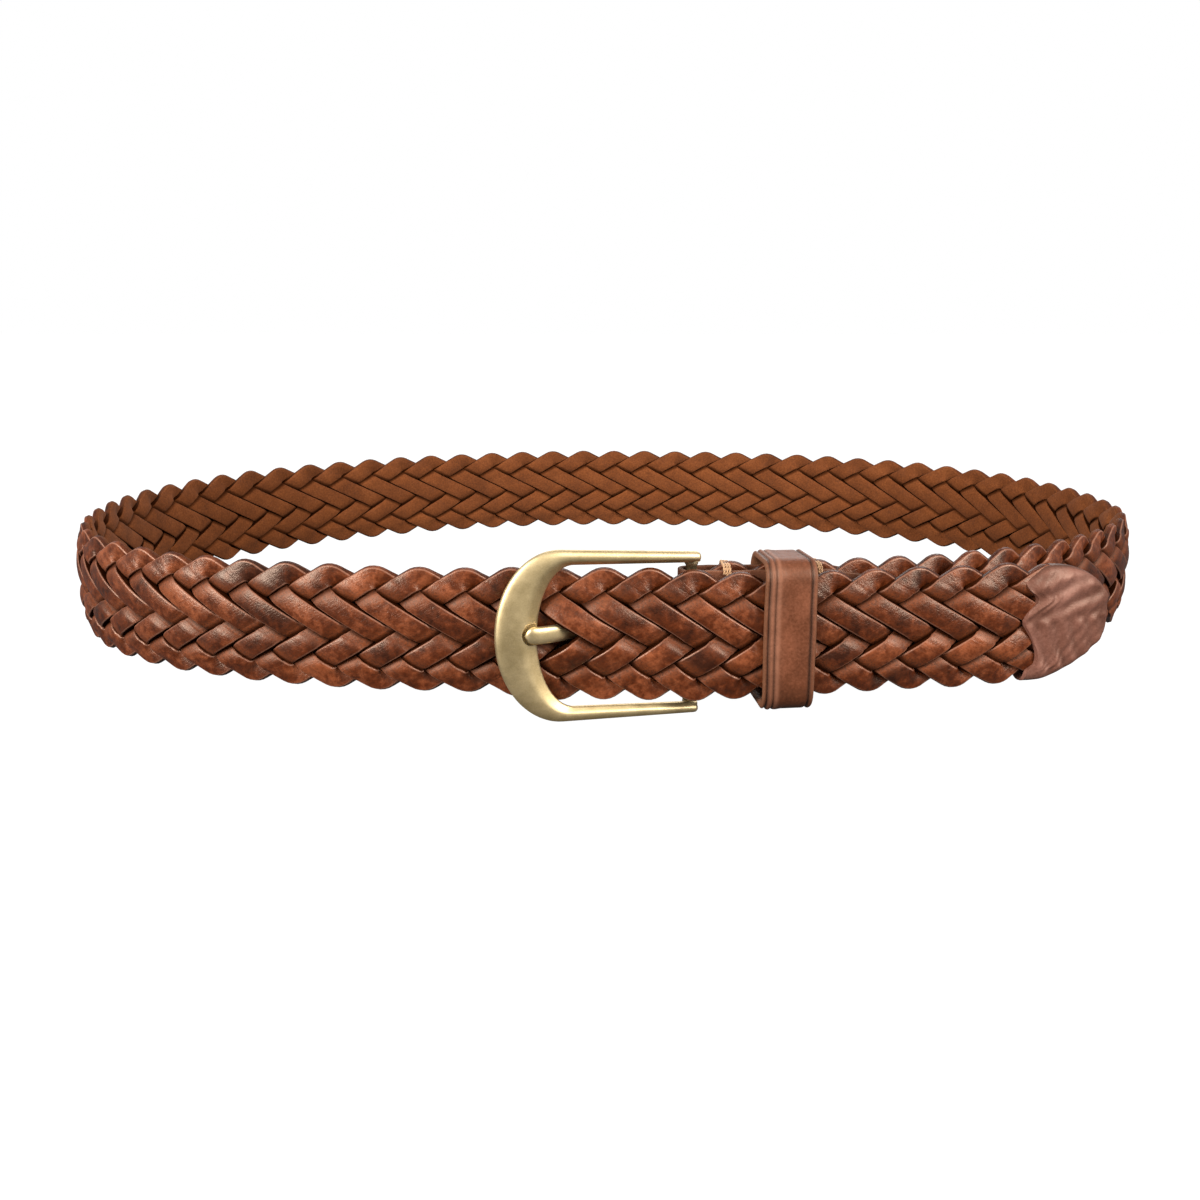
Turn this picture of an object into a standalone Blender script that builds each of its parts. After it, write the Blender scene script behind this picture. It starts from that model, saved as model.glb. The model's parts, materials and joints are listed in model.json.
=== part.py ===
"""A braided leather belt, fastened as a closed loop and standing on its edge.

One strap goes round: it starts at the heel bar as the under layer, runs to the right behind its own free
end, round the back and the left side, behind the bow of the buckle, over the heel bar and on through the
keeper as the outer layer, up to the tip tab. It is plaited from eight flat laces.

Distances along the strap are measured from the heel bar, to the right along the front, and heights are
measured from the middle of the strap. An offset is positive towards the outside of the loop.
"""

import math

import bmesh
import bpy
import numpy as np
from mathutils import Vector

# ---- driving dimensions, in metres ----
# Plan of the loop: half widths and half depths, with the exponent of each quarter's curve.
HALF_RIGHT, HALF_LEFT = 0.174, 0.178
HALF_FRONT, HALF_BACK = 0.1146, 0.1345
ROUND_FRONT_RIGHT, ROUND_FRONT_LEFT = 2.4, 2.6
ROUND_BACK_RIGHT, ROUND_BACK_LEFT = 2.2, 1.9
# The origin is under the middle of the object's box, and the object stands on z = 0.
ORIGIN_X, ORIGIN_Y = -0.0020, 0.00616
MID_HEIGHT = 0.0247

# Braid: eight laces in seven crossing rows.
LACES = 8
ROW_HEIGHT = 0.00368
PITCH_FRONT, PITCH_BACK = 0.0123, 0.0146
LACE_COVER = 0.68
LACE_THICKNESS = 0.0012
LACE_LEVEL = 0.00115
TURN_REACH = 0.0042
CUT_GAP = 0.0004
FIT_GAP = 0.0003
# Laces near the prong's hole are pushed out or in, full within FLAT_Z of the middle, gone at END_Z.
PUSH_OUT, PUSH_IN = 0.0027, 0.0029
PUSH_FLAT_Z, PUSH_END_Z = 0.0026, 0.0095
PUSH_LAP, PUSH_REACH_RIGHT, PUSH_REACH_LEFT = 0.0030, 0.0240, 0.0150

# Layers and stations along the strap, from the heel bar.
UNDER_OFFSET = -0.0078
TIP_FLARE, FLARE_FROM, FLARE_LENGTH = 0.0130, 0.0500, 0.0900
UNDER_END, UNDER_EASE = 0.1320, 0.0800
HEEL_X = 0.0210
BUCKLE_RISE = -0.0009
STRAP_START = 0.0070
BOW_CUT = -0.0480
HOLE_AT = -0.0305
KEEPER_LEFT, KEEPER_RIGHT = 0.0173, 0.0333
TIP_CUT = 0.0320
TIP_END = 0.1175
TAB_LENGTH = 0.0270
LACE_INTO_TAB = 0.0090

# Buckle: a horseshoe frame set in front of the heel bar, tilted so that its bow stands clear of the strap.
TILT = math.radians(12.0)
FRAME_SET, FRAME_REACH = 0.0030, 0.0543
BOW_WIDTH = 0.0111
BOW_OUTER, BOW_INNER = (0.0178, 0.0238), (0.0102, 0.0197)
BOW_DEPTH, ARM_DEPTH = 0.0044, 0.0034
ARM_END_OUTER, ARM_END_INNER, ARM_OVERRUN = 0.0229, 0.0199, 0.0030
BAR_RADIUS, LUG_RADIUS, LUG_INSET = 0.0015, 0.0021, 0.0003
PRONG_WIDTH, PRONG_DEPTH, PRONG_LIFT = 0.0040, 0.0024, 0.0012
PRONG_REACH = 0.0464
EYE_RADIUS = 0.0031
# The prong's shank dips behind the strap on its way to the hole and rises on to the bow.
PRONG_DIP, PRONG_DIP_AT = 0.0, 0.021
PRONG_REST, PRONG_RISE_FROM, PRONG_RISE_LENGTH = 0.0051, 0.0270, 0.0185
NOTCH_WIDTH, NOTCH_REACH, NOTCH_FLOOR = 0.0052, 0.0472, 0.0035
PRONG_HEIGHT = BUCKLE_RISE + PRONG_LIFT

# Leather parts.
KEEPER_INNER_Z, KEEPER_WALL, KEEPER_FRONT, KEEPER_BACK = 0.0185, 0.0020, 0.0029, -0.0134
KEEPER_CORNER = 0.0022
CHAPE_WALL, CHAPE_HALF_Z, CHAPE_LENGTH, CHAPE_SLOT = 0.0013, 0.0165, 0.0530, 0.0036
CHAPE_BEND, CHAPE_SLOT_END = 0.00325, 0.0052
TAB_WALL, TAB_HALF_Z, TAB_OFFSET = 0.0013, 0.0172, 0.0028
THREAD_RADIUS, THREAD_STATIONS = 0.00045, (0.0087, 0.0352)
THREAD_RING_DEEP, THREAD_RING_TALL, THREAD_CORNER = 0.0045, 0.0179, 0.0016

LEATHER = (0.30, 0.125, 0.06, 1.0)
DARK_LEATHER = (0.24, 0.10, 0.055, 1.0)
THREAD = (0.62, 0.42, 0.24, 1.0)
BRASS = (0.55, 0.46, 0.27, 1.0)


# ---- plan of the loop ----
def plan_curve(count=2880):
    """Points of the closed plan, counter-clockwise from the heel bar, with their distance along it."""
    angle = np.linspace(0.0, 2 * math.pi, count + 1) + 1e-6
    across, deep = np.cos(angle), np.sin(angle)
    width = np.where(across > 0, HALF_RIGHT, HALF_LEFT)
    depth = np.where(deep < 0, HALF_FRONT, HALF_BACK)
    front = np.where(across > 0, ROUND_FRONT_RIGHT, ROUND_FRONT_LEFT)
    back = np.where(across > 0, ROUND_BACK_RIGHT, ROUND_BACK_LEFT)
    power = np.where(deep < 0, front, back)
    radius = (np.abs(across / width) ** power + np.abs(deep / depth) ** power) ** (-1 / power)
    points = np.stack([radius * across, radius * deep], axis=1)
    start = np.argmin(np.where(deep < 0, np.abs(points[:, 0] - HEEL_X), 9.0))
    points = np.concatenate([points[start:-1], points[: start + 1]])
    steps = np.hypot(*np.diff(points, axis=0).T)
    return points, np.concatenate([[0.0], np.cumsum(steps)])


PLAN, PLAN_AT = plan_curve()
LOOP = PLAN_AT[-1]
PLAN_WAY = np.gradient(PLAN, axis=0)
PLAN_WAY[0] = PLAN_WAY[-1] = PLAN[1] - PLAN[-2]
PLAN_OUT = np.stack([PLAN_WAY[:, 1], -PLAN_WAY[:, 0]], axis=1) / np.hypot(*PLAN_WAY.T)[:, None]


def smooth(value):
    value = min(max(value, 0.0), 1.0)
    return value * value * (3 - 2 * value)


def outward(along):
    """Unit vector out of the loop at a distance along the strap."""
    along = along % LOOP
    x = np.interp(along, PLAN_AT, PLAN_OUT[:, 0])
    y = np.interp(along, PLAN_AT, PLAN_OUT[:, 1])
    return Vector((x, y, 0.0)).normalized()


def layer_offset(along):
    """How far the strap's middle stands from the plan: the under layer is inside, the free tip flares out."""
    if along < LOOP / 2:
        return UNDER_OFFSET * (1 - smooth((along - UNDER_END) / UNDER_EASE))
    return TIP_FLARE * smooth((along - LOOP - FLARE_FROM) / FLARE_LENGTH)


def place(along, offset, height):
    """A point by its distance along the plan, its offset from it and its height from the strap's middle."""
    turn = along % LOOP
    x = np.interp(turn, PLAN_AT, PLAN[:, 0]) - ORIGIN_X
    y = np.interp(turn, PLAN_AT, PLAN[:, 1]) - ORIGIN_Y
    out = outward(along)
    return Vector((x + out.x * offset, y + out.y * offset, MID_HEIGHT + height))


# ---- braid lattice ----
def pitch_table():
    """Distance along the strap and the braid's phase there: a hole for the prong is at phase one half."""
    along = np.linspace(-0.03, LOOP + TIP_END + 0.03, 4000)
    middle, swing = (PITCH_FRONT + PITCH_BACK) / 2, (PITCH_BACK - PITCH_FRONT) / 2
    pitch = middle - swing * np.cos(2 * math.pi * along / LOOP)
    phase = np.concatenate([[0.0], np.cumsum(np.diff(along) * 2 / (pitch[1:] + pitch[:-1]))])
    return along, phase - np.interp(LOOP + HOLE_AT, along, phase) + 0.5


BRAID_AT, BRAID_PHASE = pitch_table()
HOLE_PHASE = 0.5
# Level of a lace at each crossing row: 1 on the outside, -1 on the inside.
DOWN_LEVELS = {1: -1, 2: 1, 3: 1, 4: 1, 5: -1, 6: -1, 7: 1}


def along_of(phase):
    return float(np.interp(phase, BRAID_PHASE, BRAID_AT))


def phase_of(along):
    return float(np.interp(along, BRAID_AT, BRAID_PHASE))


def cycle_rungs():
    """One cycle of a lace, as (path, left edge, right edge, level) in lattice cells.

    The lace runs down for eight cells, turns at the bottom edge, runs up for eight and turns at the top.
    The edges are (xi, eta): a downward run has a constant xi, and an upward run has a constant eta.
    """
    half = LACE_COVER / 2
    rungs = []
    for upward in (False, True):
        for row in (1.5, 3.0, 4.5, 6.5):
            spots = (row,) if row == 3.0 else (row - 0.5 + half, row + 0.5 - half)
            for spot in spots:
                cell = math.floor(spot + 0.5)
                level = DOWN_LEVELS[cell]
                if upward:
                    rungs.append((16 - spot, (8 - spot, 8 - half), (8 - spot, 8 + half), -level))
                else:
                    rungs.append((spot, (half, spot), (-half, spot), level))
    last = 7 + half
    rungs.append((last, (half, last), (-half, last), 1))
    rungs.append((8.0, (half, 8 - half), None, 0))
    rungs.append((16 - last, (8 - last, 8 - half), (8 - last, 8 + half), -1))
    rungs.append((16 - 1 + half, (7 + half, 8 - half), (7 + half, 8 + half), 1))
    rungs.append((16.0, (8 - half, 8 + half), None, 0))
    rungs.append((16 + 1 - half, (8 + half, 9 - half), (8 - half, 9 - half), -1))
    return sorted(rungs, key=lambda rung: rung[0])


def lattice_point(xi, eta):
    """Distance along the strap and height of a lattice point."""
    return along_of((xi + eta) / 2), ROW_HEIGHT * (4 - (eta - xi))


def lace_rungs(lace, first_phase, last_phase, dense):
    """Rungs of one lace between two phases: (left edge, right edge, level), edges as (along, height)."""
    keys = []
    for cycle in range(int((first_phase - lace) // 8) - 1, int((last_phase - lace) // 8) + 2):
        base = lace + 8 * cycle
        for path, left, right, level in cycle_rungs():
            one = lattice_point(base + left[0], base + left[1])
            if right is not None:
                other = lattice_point(base + right[0], base + right[1])
            elif one[1] < 0:
                other = (one[0], one[1] - TURN_REACH)
            else:
                # The lace turns about its other edge at the top of the strap.
                one, other = (one[0], one[1] + TURN_REACH), one
            keys.append((base + path / 2, one, other, level))
    keys.sort(key=lambda key: key[0])
    phases = np.array([key[0] for key in keys])
    table = np.array([[*key[1], *key[2], key[3]] for key in keys])
    wanted = [p for p in phases if first_phase + 0.02 < p < last_phase - 0.02]
    if dense:
        wanted += [p for p in np.arange(math.ceil(first_phase * 4) / 4, last_phase, 0.25)]
    wanted = sorted({round(p, 4) for p in [first_phase, *wanted, last_phase]})
    return [[np.interp(p, phases, column) for column in table.T] + [p] for p in wanted]


def prong_push(lace, phase, along, height):
    """How far a lace is pushed aside near the hole: laces right of it pass over the prong, the others under."""
    cycle = (phase - lace) // 8
    downward = (2 * (phase - lace)) % 16 < 8
    line = lace + 8 * cycle if downward else lace + 8 * cycle + 8
    right = line > (HOLE_PHASE - 2 if downward else HOLE_PHASE + 2)
    past = along - LOOP - HOLE_AT
    near = 1 - smooth((abs(height - PRONG_HEIGHT) - PUSH_FLAT_Z) / (PUSH_END_Z - PUSH_FLAT_Z))
    if right:
        return PUSH_OUT * near * (1 - smooth((past + PUSH_LAP) / PUSH_REACH_RIGHT))
    return -PUSH_IN * near * (1 - smooth((PUSH_LAP - past) / PUSH_REACH_LEFT))


# ---- mesh helpers ----
def make_object(name, mesh, material, collection, parent=None):
    obj = bpy.data.objects.new(name, mesh)
    obj.data.materials.append(material)
    collection.objects.link(obj)
    obj.parent = parent
    return obj


def grid_mesh(name, rows, closed_rows=False, capped=False):
    """A mesh of quads between rows of points, as open sheet, tube or capped loft."""
    wide = len(rows[0])
    last = wide if closed_rows else wide - 1
    faces = []
    for row in range(len(rows) - 1):
        for column in range(last):
            nxt = (column + 1) % wide
            low, high = row * wide, (row + 1) * wide
            faces.append((low + column, low + nxt, high + nxt, high + column))
    if capped:
        faces.append(tuple(reversed(range(wide))))
        faces.append(tuple((len(rows) - 1) * wide + column for column in range(wide)))
    mesh = bpy.data.meshes.new(name)
    mesh.from_pydata([tuple(point) for row in rows for point in row], [], faces)
    mesh.update()
    return mesh


def thicken(obj, thickness, offset=0.0):
    solidify = obj.modifiers.new("thickness", "SOLIDIFY")
    solidify.thickness = thickness
    solidify.offset = offset
    return obj


def material(name, colour, roughness, metallic=0.0):
    made = bpy.data.materials.new(name)
    made.use_nodes = True
    shader = made.node_tree.nodes["Principled BSDF"]
    shader.inputs["Base Color"].default_value = colour
    shader.inputs["Roughness"].default_value = roughness
    shader.inputs["Metallic"].default_value = metallic
    return made


# ---- braid ----
def lace_object(name, lace, start, end, leather, collection, dense=False):
    """One lace between two distances along the strap, as a thickened ribbon."""
    rows = []
    for left_at, left_z, right_at, right_z, level, phase in lace_rungs(
        lace, phase_of(start), phase_of(end), dense
    ):
        row = []
        for along, height in ((left_at, left_z), (right_at, right_z)):
            offset = layer_offset(along) + LACE_LEVEL * level
            if dense:
                offset += prong_push(lace, phase, along, height)
            row.append(place(along, offset, height))
        rows.append(row)
    obj = make_object(name, grid_mesh(name, rows), leather, collection)
    return thicken(obj, LACE_THICKNESS)


def braid(collection, leather):
    gap = CUT_GAP / 2
    behind_bow, in_keeper = LOOP + BOW_CUT, LOOP + TIP_CUT
    laces_end = LOOP + TIP_END - TAB_LENGTH + LACE_INTO_TAB
    for lace in range(1, LACES + 1):
        lace_object(f"loop_strand_{lace}", lace, STRAP_START, behind_bow - gap, leather, collection)
        lace_object(
            f"buckle_strand_{lace}", lace, behind_bow + gap, in_keeper - gap, leather, collection, True
        )
        lace_object(f"tip_strand_{lace}", lace, in_keeper + gap, laces_end, leather, collection)


# ---- buckle, built flat: x to the right of the bar, y into the loop, z up ----
def pivot_empty(name, collection):
    """An empty on the heel bar's axis, turned with the tilted frame."""
    empty = bpy.data.objects.new(name, None)
    collection.objects.link(empty)
    out = outward(0.0)
    empty.location = place(0.0, UNDER_OFFSET, BUCKLE_RISE)
    empty.rotation_euler = (0.0, 0.0, TILT + math.atan2(out.x, -out.y))
    return empty


def rounded_section(centre, wide_axis, half_wide, half_deep, count=14, power=2.8):
    """Points of a rounded bar's section, wide along an axis in the frame's plane and deep along y."""
    points = []
    for step in range(count):
        angle = 2 * math.pi * step / count
        c, s = math.cos(angle), math.sin(angle)
        across = math.copysign(abs(c) ** (2 / power), c) * half_wide
        deep = math.copysign(abs(s) ** (2 / power), s) * half_deep
        points.append(centre + wide_axis * across + Vector((0.0, deep, 0.0)))
    return points


def frame_sections():
    """(inner point, outer point, depth) from the bow's middle to the end of the upper arm, as (x, z)."""
    sections = []
    inner_reach = FRAME_REACH - BOW_WIDTH
    steps = 9
    for step in range(steps + 1):
        angle = math.pi / 2 * step / steps
        c, s = math.cos(angle), math.sin(angle)
        outer = (-(FRAME_REACH - BOW_OUTER[0] * (1 - c)), BOW_OUTER[1] * s)
        inner = (-(inner_reach - BOW_INNER[0] * (1 - c)), BOW_INNER[1] * s)
        sections.append((inner, outer, BOW_DEPTH + (ARM_DEPTH - BOW_DEPTH) * smooth(s)))
    for part in (0.35, 0.7, 1.0):
        outer_x = sections[steps][1][0] * (1 - part) + ARM_OVERRUN * part
        inner_x = sections[steps][0][0] * (1 - part) + ARM_OVERRUN * part
        outer_z = BOW_OUTER[1] * (1 - part) + ARM_END_OUTER * part
        inner_z = BOW_INNER[1] * (1 - part) + ARM_END_INNER * part
        sections.append(((inner_x, inner_z), (outer_x, outer_z), ARM_DEPTH))
    return sections


def buckle_frame(collection, brass, parent):
    upper = frame_sections()
    lower = [((i[0], -i[1]), (o[0], -o[1]), depth) for i, o, depth in reversed(upper[1:])]
    rows = []
    for inner, outer, depth in lower + upper:
        inner, outer = Vector((inner[0], 0.0, inner[1])), Vector((outer[0], 0.0, outer[1]))
        wide = outer - inner
        centre = (inner + outer) / 2 - Vector((0.0, FRAME_SET, 0.0))
        rows.append(rounded_section(centre, wide.normalized(), wide.length / 2, depth / 2))
    mesh = grid_mesh("buckle_frame", rows, closed_rows=True, capped=True)
    frame = make_object("buckle_frame", mesh, brass, collection, parent)
    helpers = bpy.data.collections.new("helpers")
    bpy.context.scene.collection.children.link(helpers)
    notch = frame.modifiers.new("prong notch", "BOOLEAN")
    notch.object = helper_solid("notch_cutter", notch_rows(), helpers, parent)
    for name, side in (("upper_lug", 1), ("lower_lug", -1)):
        lug = frame.modifiers.new(name, "BOOLEAN")
        lug.operation = "UNION"
        lug.object = helper_solid(name, lug_rows(side), helpers, parent)
    return frame


def helper_solid(name, rows, helpers, parent):
    """A hidden solid that a Boolean uses."""
    helper = bpy.data.objects.new(name, grid_mesh(name, rows, closed_rows=True, capped=True))
    helpers.objects.link(helper)
    helper.parent = parent
    helper.hide_render = True
    helper.display_type = "WIRE"
    return helper


def lug_rows(side):
    """The lug behind an arm's end that holds the heel bar: a block with round ends, from the arm to the bar."""
    outline = []
    for step in range(9):
        angle = math.pi * step / 8
        outline.append((LUG_RADIUS * math.cos(angle), LUG_RADIUS * math.sin(angle)))
    for step in range(9):
        angle = math.pi * (1 + step / 8)
        outline.append((LUG_RADIUS * math.cos(angle), LUG_RADIUS * math.sin(angle) - FRAME_SET + ARM_DEPTH / 4))
    inner, outer = side * (ARM_END_INNER + LUG_INSET / 3), side * (ARM_END_OUTER - LUG_INSET)
    low, high = min(inner, outer), max(inner, outer)
    return [[Vector((x, y, z)) for x, y in outline] for z in (low, high)]


def notch_rows():
    """The slot in the bow that the prong's tip lies in: a straight groove with a round end."""
    half = NOTCH_WIDTH / 2
    outline = [(-(FRAME_REACH - BOW_WIDTH - half), -half)]
    for step in range(13):
        angle = -math.pi / 2 + math.pi * step / 12
        outline.append((-(NOTCH_REACH - half + half * math.cos(angle)), half * math.sin(angle)))
    outline.append((-(FRAME_REACH - BOW_WIDTH - half), half))
    deeps = (-FRAME_SET - 2 * BOW_DEPTH, -NOTCH_FLOOR)
    return [[Vector((x, y, z + PRONG_LIFT)) for x, z in outline] for y in deeps]


def heel_bar(collection, brass, parent):
    length = 2 * (ARM_END_INNER - FIT_GAP)
    bpy.ops.mesh.primitive_cylinder_add(vertices=20, radius=BAR_RADIUS, depth=length)
    bar = bpy.context.object
    bar.name = "heel_bar"
    bar.data.materials.append(brass)
    for holder in bar.users_collection:
        holder.objects.unlink(bar)
    collection.objects.link(bar)
    bar.parent = parent
    return bar


def prong_path():
    """(x, y) points of the prong: a curl round the heel bar, then the shank to its tip on the bow."""
    points = []
    for step in range(13):
        angle = math.radians(-50 - 220 * step / 12)
        points.append((-EYE_RADIUS * math.cos(angle), -EYE_RADIUS * math.sin(angle)))
    steps = 14
    for step in range(1, steps + 1):
        reach = PRONG_REACH * step / steps
        level = EYE_RADIUS + (PRONG_DIP - EYE_RADIUS) * smooth(reach / PRONG_DIP_AT)
        level += (PRONG_REST - PRONG_DIP) * smooth((reach - PRONG_RISE_FROM) / PRONG_RISE_LENGTH)
        points.append((-reach, -level))
    return points


def prong(collection, brass, parent):
    path = [Vector((x, y, 0.0)) for x, y in prong_path()]
    rows = []
    for index, point in enumerate(path):
        ahead = path[min(index + 1, len(path) - 1)] - path[max(index - 1, 0)]
        left = (len(path) - 1 - index) / 1.6
        shrink = math.sqrt(min(1.0, 1 - (1 - min(left, 1.0)) ** 2 * 0.85))
        across = Vector((-ahead.y, ahead.x, 0.0)).normalized()
        row = []
        for step in range(12):
            angle = 2 * math.pi * step / 12
            c, s = math.cos(angle), math.sin(angle)
            high = math.copysign(abs(c) ** 0.75, c) * PRONG_WIDTH / 2 * shrink
            deep = math.copysign(abs(s) ** 0.75, s) * PRONG_DEPTH / 2 * shrink
            row.append(point - across * deep + Vector((0.0, 0.0, high + PRONG_LIFT)))
        rows.append(row)
    mesh = grid_mesh("prong", rows, closed_rows=True, capped=True)
    return make_object("prong", mesh, brass, collection, parent)


# ---- leather parts and threads ----
def keeper(collection, leather):
    """The keeper: a band round both layers of the strap, its inner face swept and then thickened outwards."""
    corner = KEEPER_CORNER
    profile = []
    for offset, height, turn in (
        (KEEPER_FRONT, KEEPER_INNER_Z, 0),
        (KEEPER_BACK, KEEPER_INNER_Z, 1),
        (KEEPER_BACK, -KEEPER_INNER_Z, 2),
        (KEEPER_FRONT, -KEEPER_INNER_Z, 3),
    ):
        centre_offset = offset - math.copysign(corner, offset - (KEEPER_FRONT + KEEPER_BACK) / 2)
        centre_height = height - math.copysign(corner, height)
        for step in range(5):
            angle = math.pi / 2 * (turn + step / 4)
            profile.append((centre_offset + corner * math.cos(angle), centre_height + corner * math.sin(angle)))
    rows = []
    for along in (KEEPER_LEFT, (KEEPER_LEFT + KEEPER_RIGHT) / 2, KEEPER_RIGHT):
        rows.append([place(along, offset, height) for offset, height in profile])
    band = make_object("keeper", grid_mesh("keeper", rows, closed_rows=True), leather, collection)
    return thicken(band, KEEPER_WALL, -1.0)


def chape(collection, leather):
    """The buckle end: a leaf of leather folded round the heel bar, with a slot for the prong in its bend."""
    path = [(CHAPE_LENGTH * part, UNDER_OFFSET + CHAPE_BEND) for part in (1.0, 0.66, 0.33)]
    path += [(CHAPE_SLOT_END, UNDER_OFFSET + CHAPE_BEND)]
    for step in range(9):
        angle = math.pi / 2 + math.pi * step / 8
        path.append((CHAPE_BEND * math.cos(angle), UNDER_OFFSET + CHAPE_BEND * math.sin(angle)))
    path += [(along, 2 * UNDER_OFFSET - offset) for along, offset in reversed(path[:4])]
    heights = (-CHAPE_HALF_Z, -CHAPE_SLOT, CHAPE_SLOT, CHAPE_HALF_Z)
    rows = [[place(along, offset, height) for height in heights] for along, offset in path]
    mesh = grid_mesh("chape", rows)
    chape_object = make_object("chape", mesh, leather, collection)
    cut_slot(mesh, first=3, last=len(path) - 5, columns=3)
    return thicken(chape_object, CHAPE_WALL)


def cut_slot(mesh, first, last, columns):
    """Removes the middle column's quads between two rows of a sheet."""
    work = bmesh.new()
    work.from_mesh(mesh)
    work.faces.ensure_lookup_table()
    slot = [work.faces[row * columns + 1] for row in range(first, last + 1)]
    bmesh.ops.delete(work, geom=slot, context="FACES")
    work.to_mesh(mesh)
    work.free()


def tab_plate(name, side, collection, leather):
    """One leaf of the tip tab: square at its left edge and round at the strap's end."""
    rows = []
    steps = 10
    for step in range(steps + 1):
        part = 1 - (1 - step / steps) ** 1.6
        behind = TAB_LENGTH * (1 - part) + 0.0004
        curve = min(behind / TAB_HALF_Z, 1.0)
        half = TAB_HALF_Z * math.sqrt(1 - (1 - curve) ** 2)
        along = LOOP + TIP_END - behind
        row = []
        for column in range(5):
            height = half * (column / 2 - 1)
            row.append(place(along, layer_offset(along) + side * TAB_OFFSET, height))
        rows.append(row)
    plate = make_object(name, grid_mesh(name, rows), leather, collection)
    return thicken(plate, TAB_WALL)


def binding_thread(name, along, collection, thread):
    """A ring of thread round the under layer."""
    deep, tall, corner = THREAD_RING_DEEP, THREAD_RING_TALL, THREAD_CORNER
    points = []
    for turn, (x_sign, z_sign) in enumerate(((1, 1), (-1, 1), (-1, -1), (1, -1))):
        for step in range(3):
            angle = math.pi / 2 * (turn + step / 2)
            offset = UNDER_OFFSET + x_sign * (deep - corner) + corner * math.cos(angle)
            points.append(place(along, offset, z_sign * (tall - corner) + corner * math.sin(angle)))
    curve = bpy.data.curves.new(name, "CURVE")
    curve.dimensions = "3D"
    curve.bevel_depth = THREAD_RADIUS
    curve.bevel_resolution = 2
    spline = curve.splines.new("POLY")
    spline.points.add(len(points) - 1)
    for index, point in enumerate(points):
        spline.points[index].co = (*point, 1.0)
    spline.use_cyclic_u = True
    return make_object(name, curve, thread, collection)


def main():
    for obj in list(bpy.data.objects):
        bpy.data.objects.remove(obj)
    collection = bpy.data.collections.new("braided_belt")
    bpy.context.scene.collection.children.link(collection)
    leather = material("grain leather", LEATHER, 0.45)
    dark = material("tab leather", DARK_LEATHER, 0.5)
    brass = material("antique brass", BRASS, 0.35, 1.0)
    thread = material("thread", THREAD, 0.8)
    braid(collection, leather)
    buckle_pivot = pivot_empty("buckle_pivot", collection)
    buckle_frame(collection, brass, buckle_pivot)
    heel_bar(collection, brass, buckle_pivot)
    prong(collection, brass, pivot_empty("prong_pivot", collection))
    keeper(collection, leather)
    chape(collection, leather)
    tab_plate("tip_tab_front", 1, collection, dark)
    tab_plate("tip_tab_back", -1, collection, dark)
    for side, along in zip(("left", "right"), THREAD_STATIONS):
        binding_thread(f"binding_thread_{side}", along, collection, thread)


main()
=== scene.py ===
import json
import math

import bpy
import numpy as np
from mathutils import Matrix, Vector


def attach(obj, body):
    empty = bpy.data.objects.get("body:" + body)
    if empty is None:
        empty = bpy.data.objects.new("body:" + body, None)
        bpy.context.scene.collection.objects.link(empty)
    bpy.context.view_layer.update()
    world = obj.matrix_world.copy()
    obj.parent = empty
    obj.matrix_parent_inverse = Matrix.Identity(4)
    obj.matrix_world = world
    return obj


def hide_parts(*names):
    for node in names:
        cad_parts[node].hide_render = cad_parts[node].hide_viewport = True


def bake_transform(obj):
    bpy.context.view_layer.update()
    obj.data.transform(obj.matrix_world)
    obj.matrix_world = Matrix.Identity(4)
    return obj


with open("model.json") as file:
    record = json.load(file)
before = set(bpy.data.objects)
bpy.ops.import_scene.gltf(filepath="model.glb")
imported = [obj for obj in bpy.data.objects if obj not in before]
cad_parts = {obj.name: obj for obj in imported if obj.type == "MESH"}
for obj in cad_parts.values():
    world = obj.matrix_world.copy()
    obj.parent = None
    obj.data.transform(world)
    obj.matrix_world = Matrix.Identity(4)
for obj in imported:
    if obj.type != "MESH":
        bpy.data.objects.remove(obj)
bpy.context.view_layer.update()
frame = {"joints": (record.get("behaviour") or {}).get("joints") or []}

# The plaited belt: laces, buckle, leather parts and threads, then the floor, lights and camera.
# Lengths are in metres. A place on the strap is given by along, the distance along the loop from the heel
# bar, by offset, outwards from the loop's plan, and by height, upwards from the strap's middle.

# ---- the loop: the CAD model's sizes, but wider at its right end and with a narrower keeper ----
HALF_RIGHT, HALF_LEFT, HALF_FRONT, HALF_BACK = 0.1768, 0.178, 0.1146, 0.1345
ROUND_FRONT_RIGHT, ROUND_FRONT_LEFT, ROUND_BACK_RIGHT, ROUND_BACK_LEFT = 2.4, 2.6, 2.2, 1.9
ORIGIN_X, ORIGIN_Y = -0.0020, 0.00616
HEEL_X, BUCKLE_RISE = 0.0210, -0.0009
UNDER_OFFSET, UNDER_END, UNDER_EASE = -0.0078, 0.1320, 0.0800
TIP_FLARE, FLARE_FROM, FLARE_LENGTH = 0.0130, 0.0500, 0.0900
STRAP_START, HOLE_AT = 0.0070, -0.0305
KEEPER_LEFT, KEEPER_RIGHT = 0.0181, 0.0321
TIP_END, TAB_LENGTH = 0.1175, 0.0270

JOINTS = {joint["name"]: joint for joint in frame["joints"]}
BAR = Vector(JOINTS["buckle_pivot"]["pos_m"])
MID_HEIGHT = BAR.z - BUCKLE_RISE
PLAN_STEPS, PLAN_SHIFT = 5760, 1e-6


# ---- numbers and paths ----
def unit(vectors):
    return vectors / np.linalg.norm(vectors, axis=-1, keepdims=True)


def travelled(points):
    """Distance along a path to each of its points."""
    return np.concatenate([[0.0], np.cumsum(np.linalg.norm(np.diff(points, axis=0), axis=1))])


def smooth(value, start=0.0, length=1.0):
    """0 up to start, 1 from start + length on, and a smooth rise between them."""
    part = np.clip((value - start) / length, 0.0, 1.0)
    return part * part * (3 - 2 * part)


def hump(value, middle, width):
    """A bell-shaped rise of height 1."""
    return np.exp(-(((value - middle) / width) ** 2))


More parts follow.
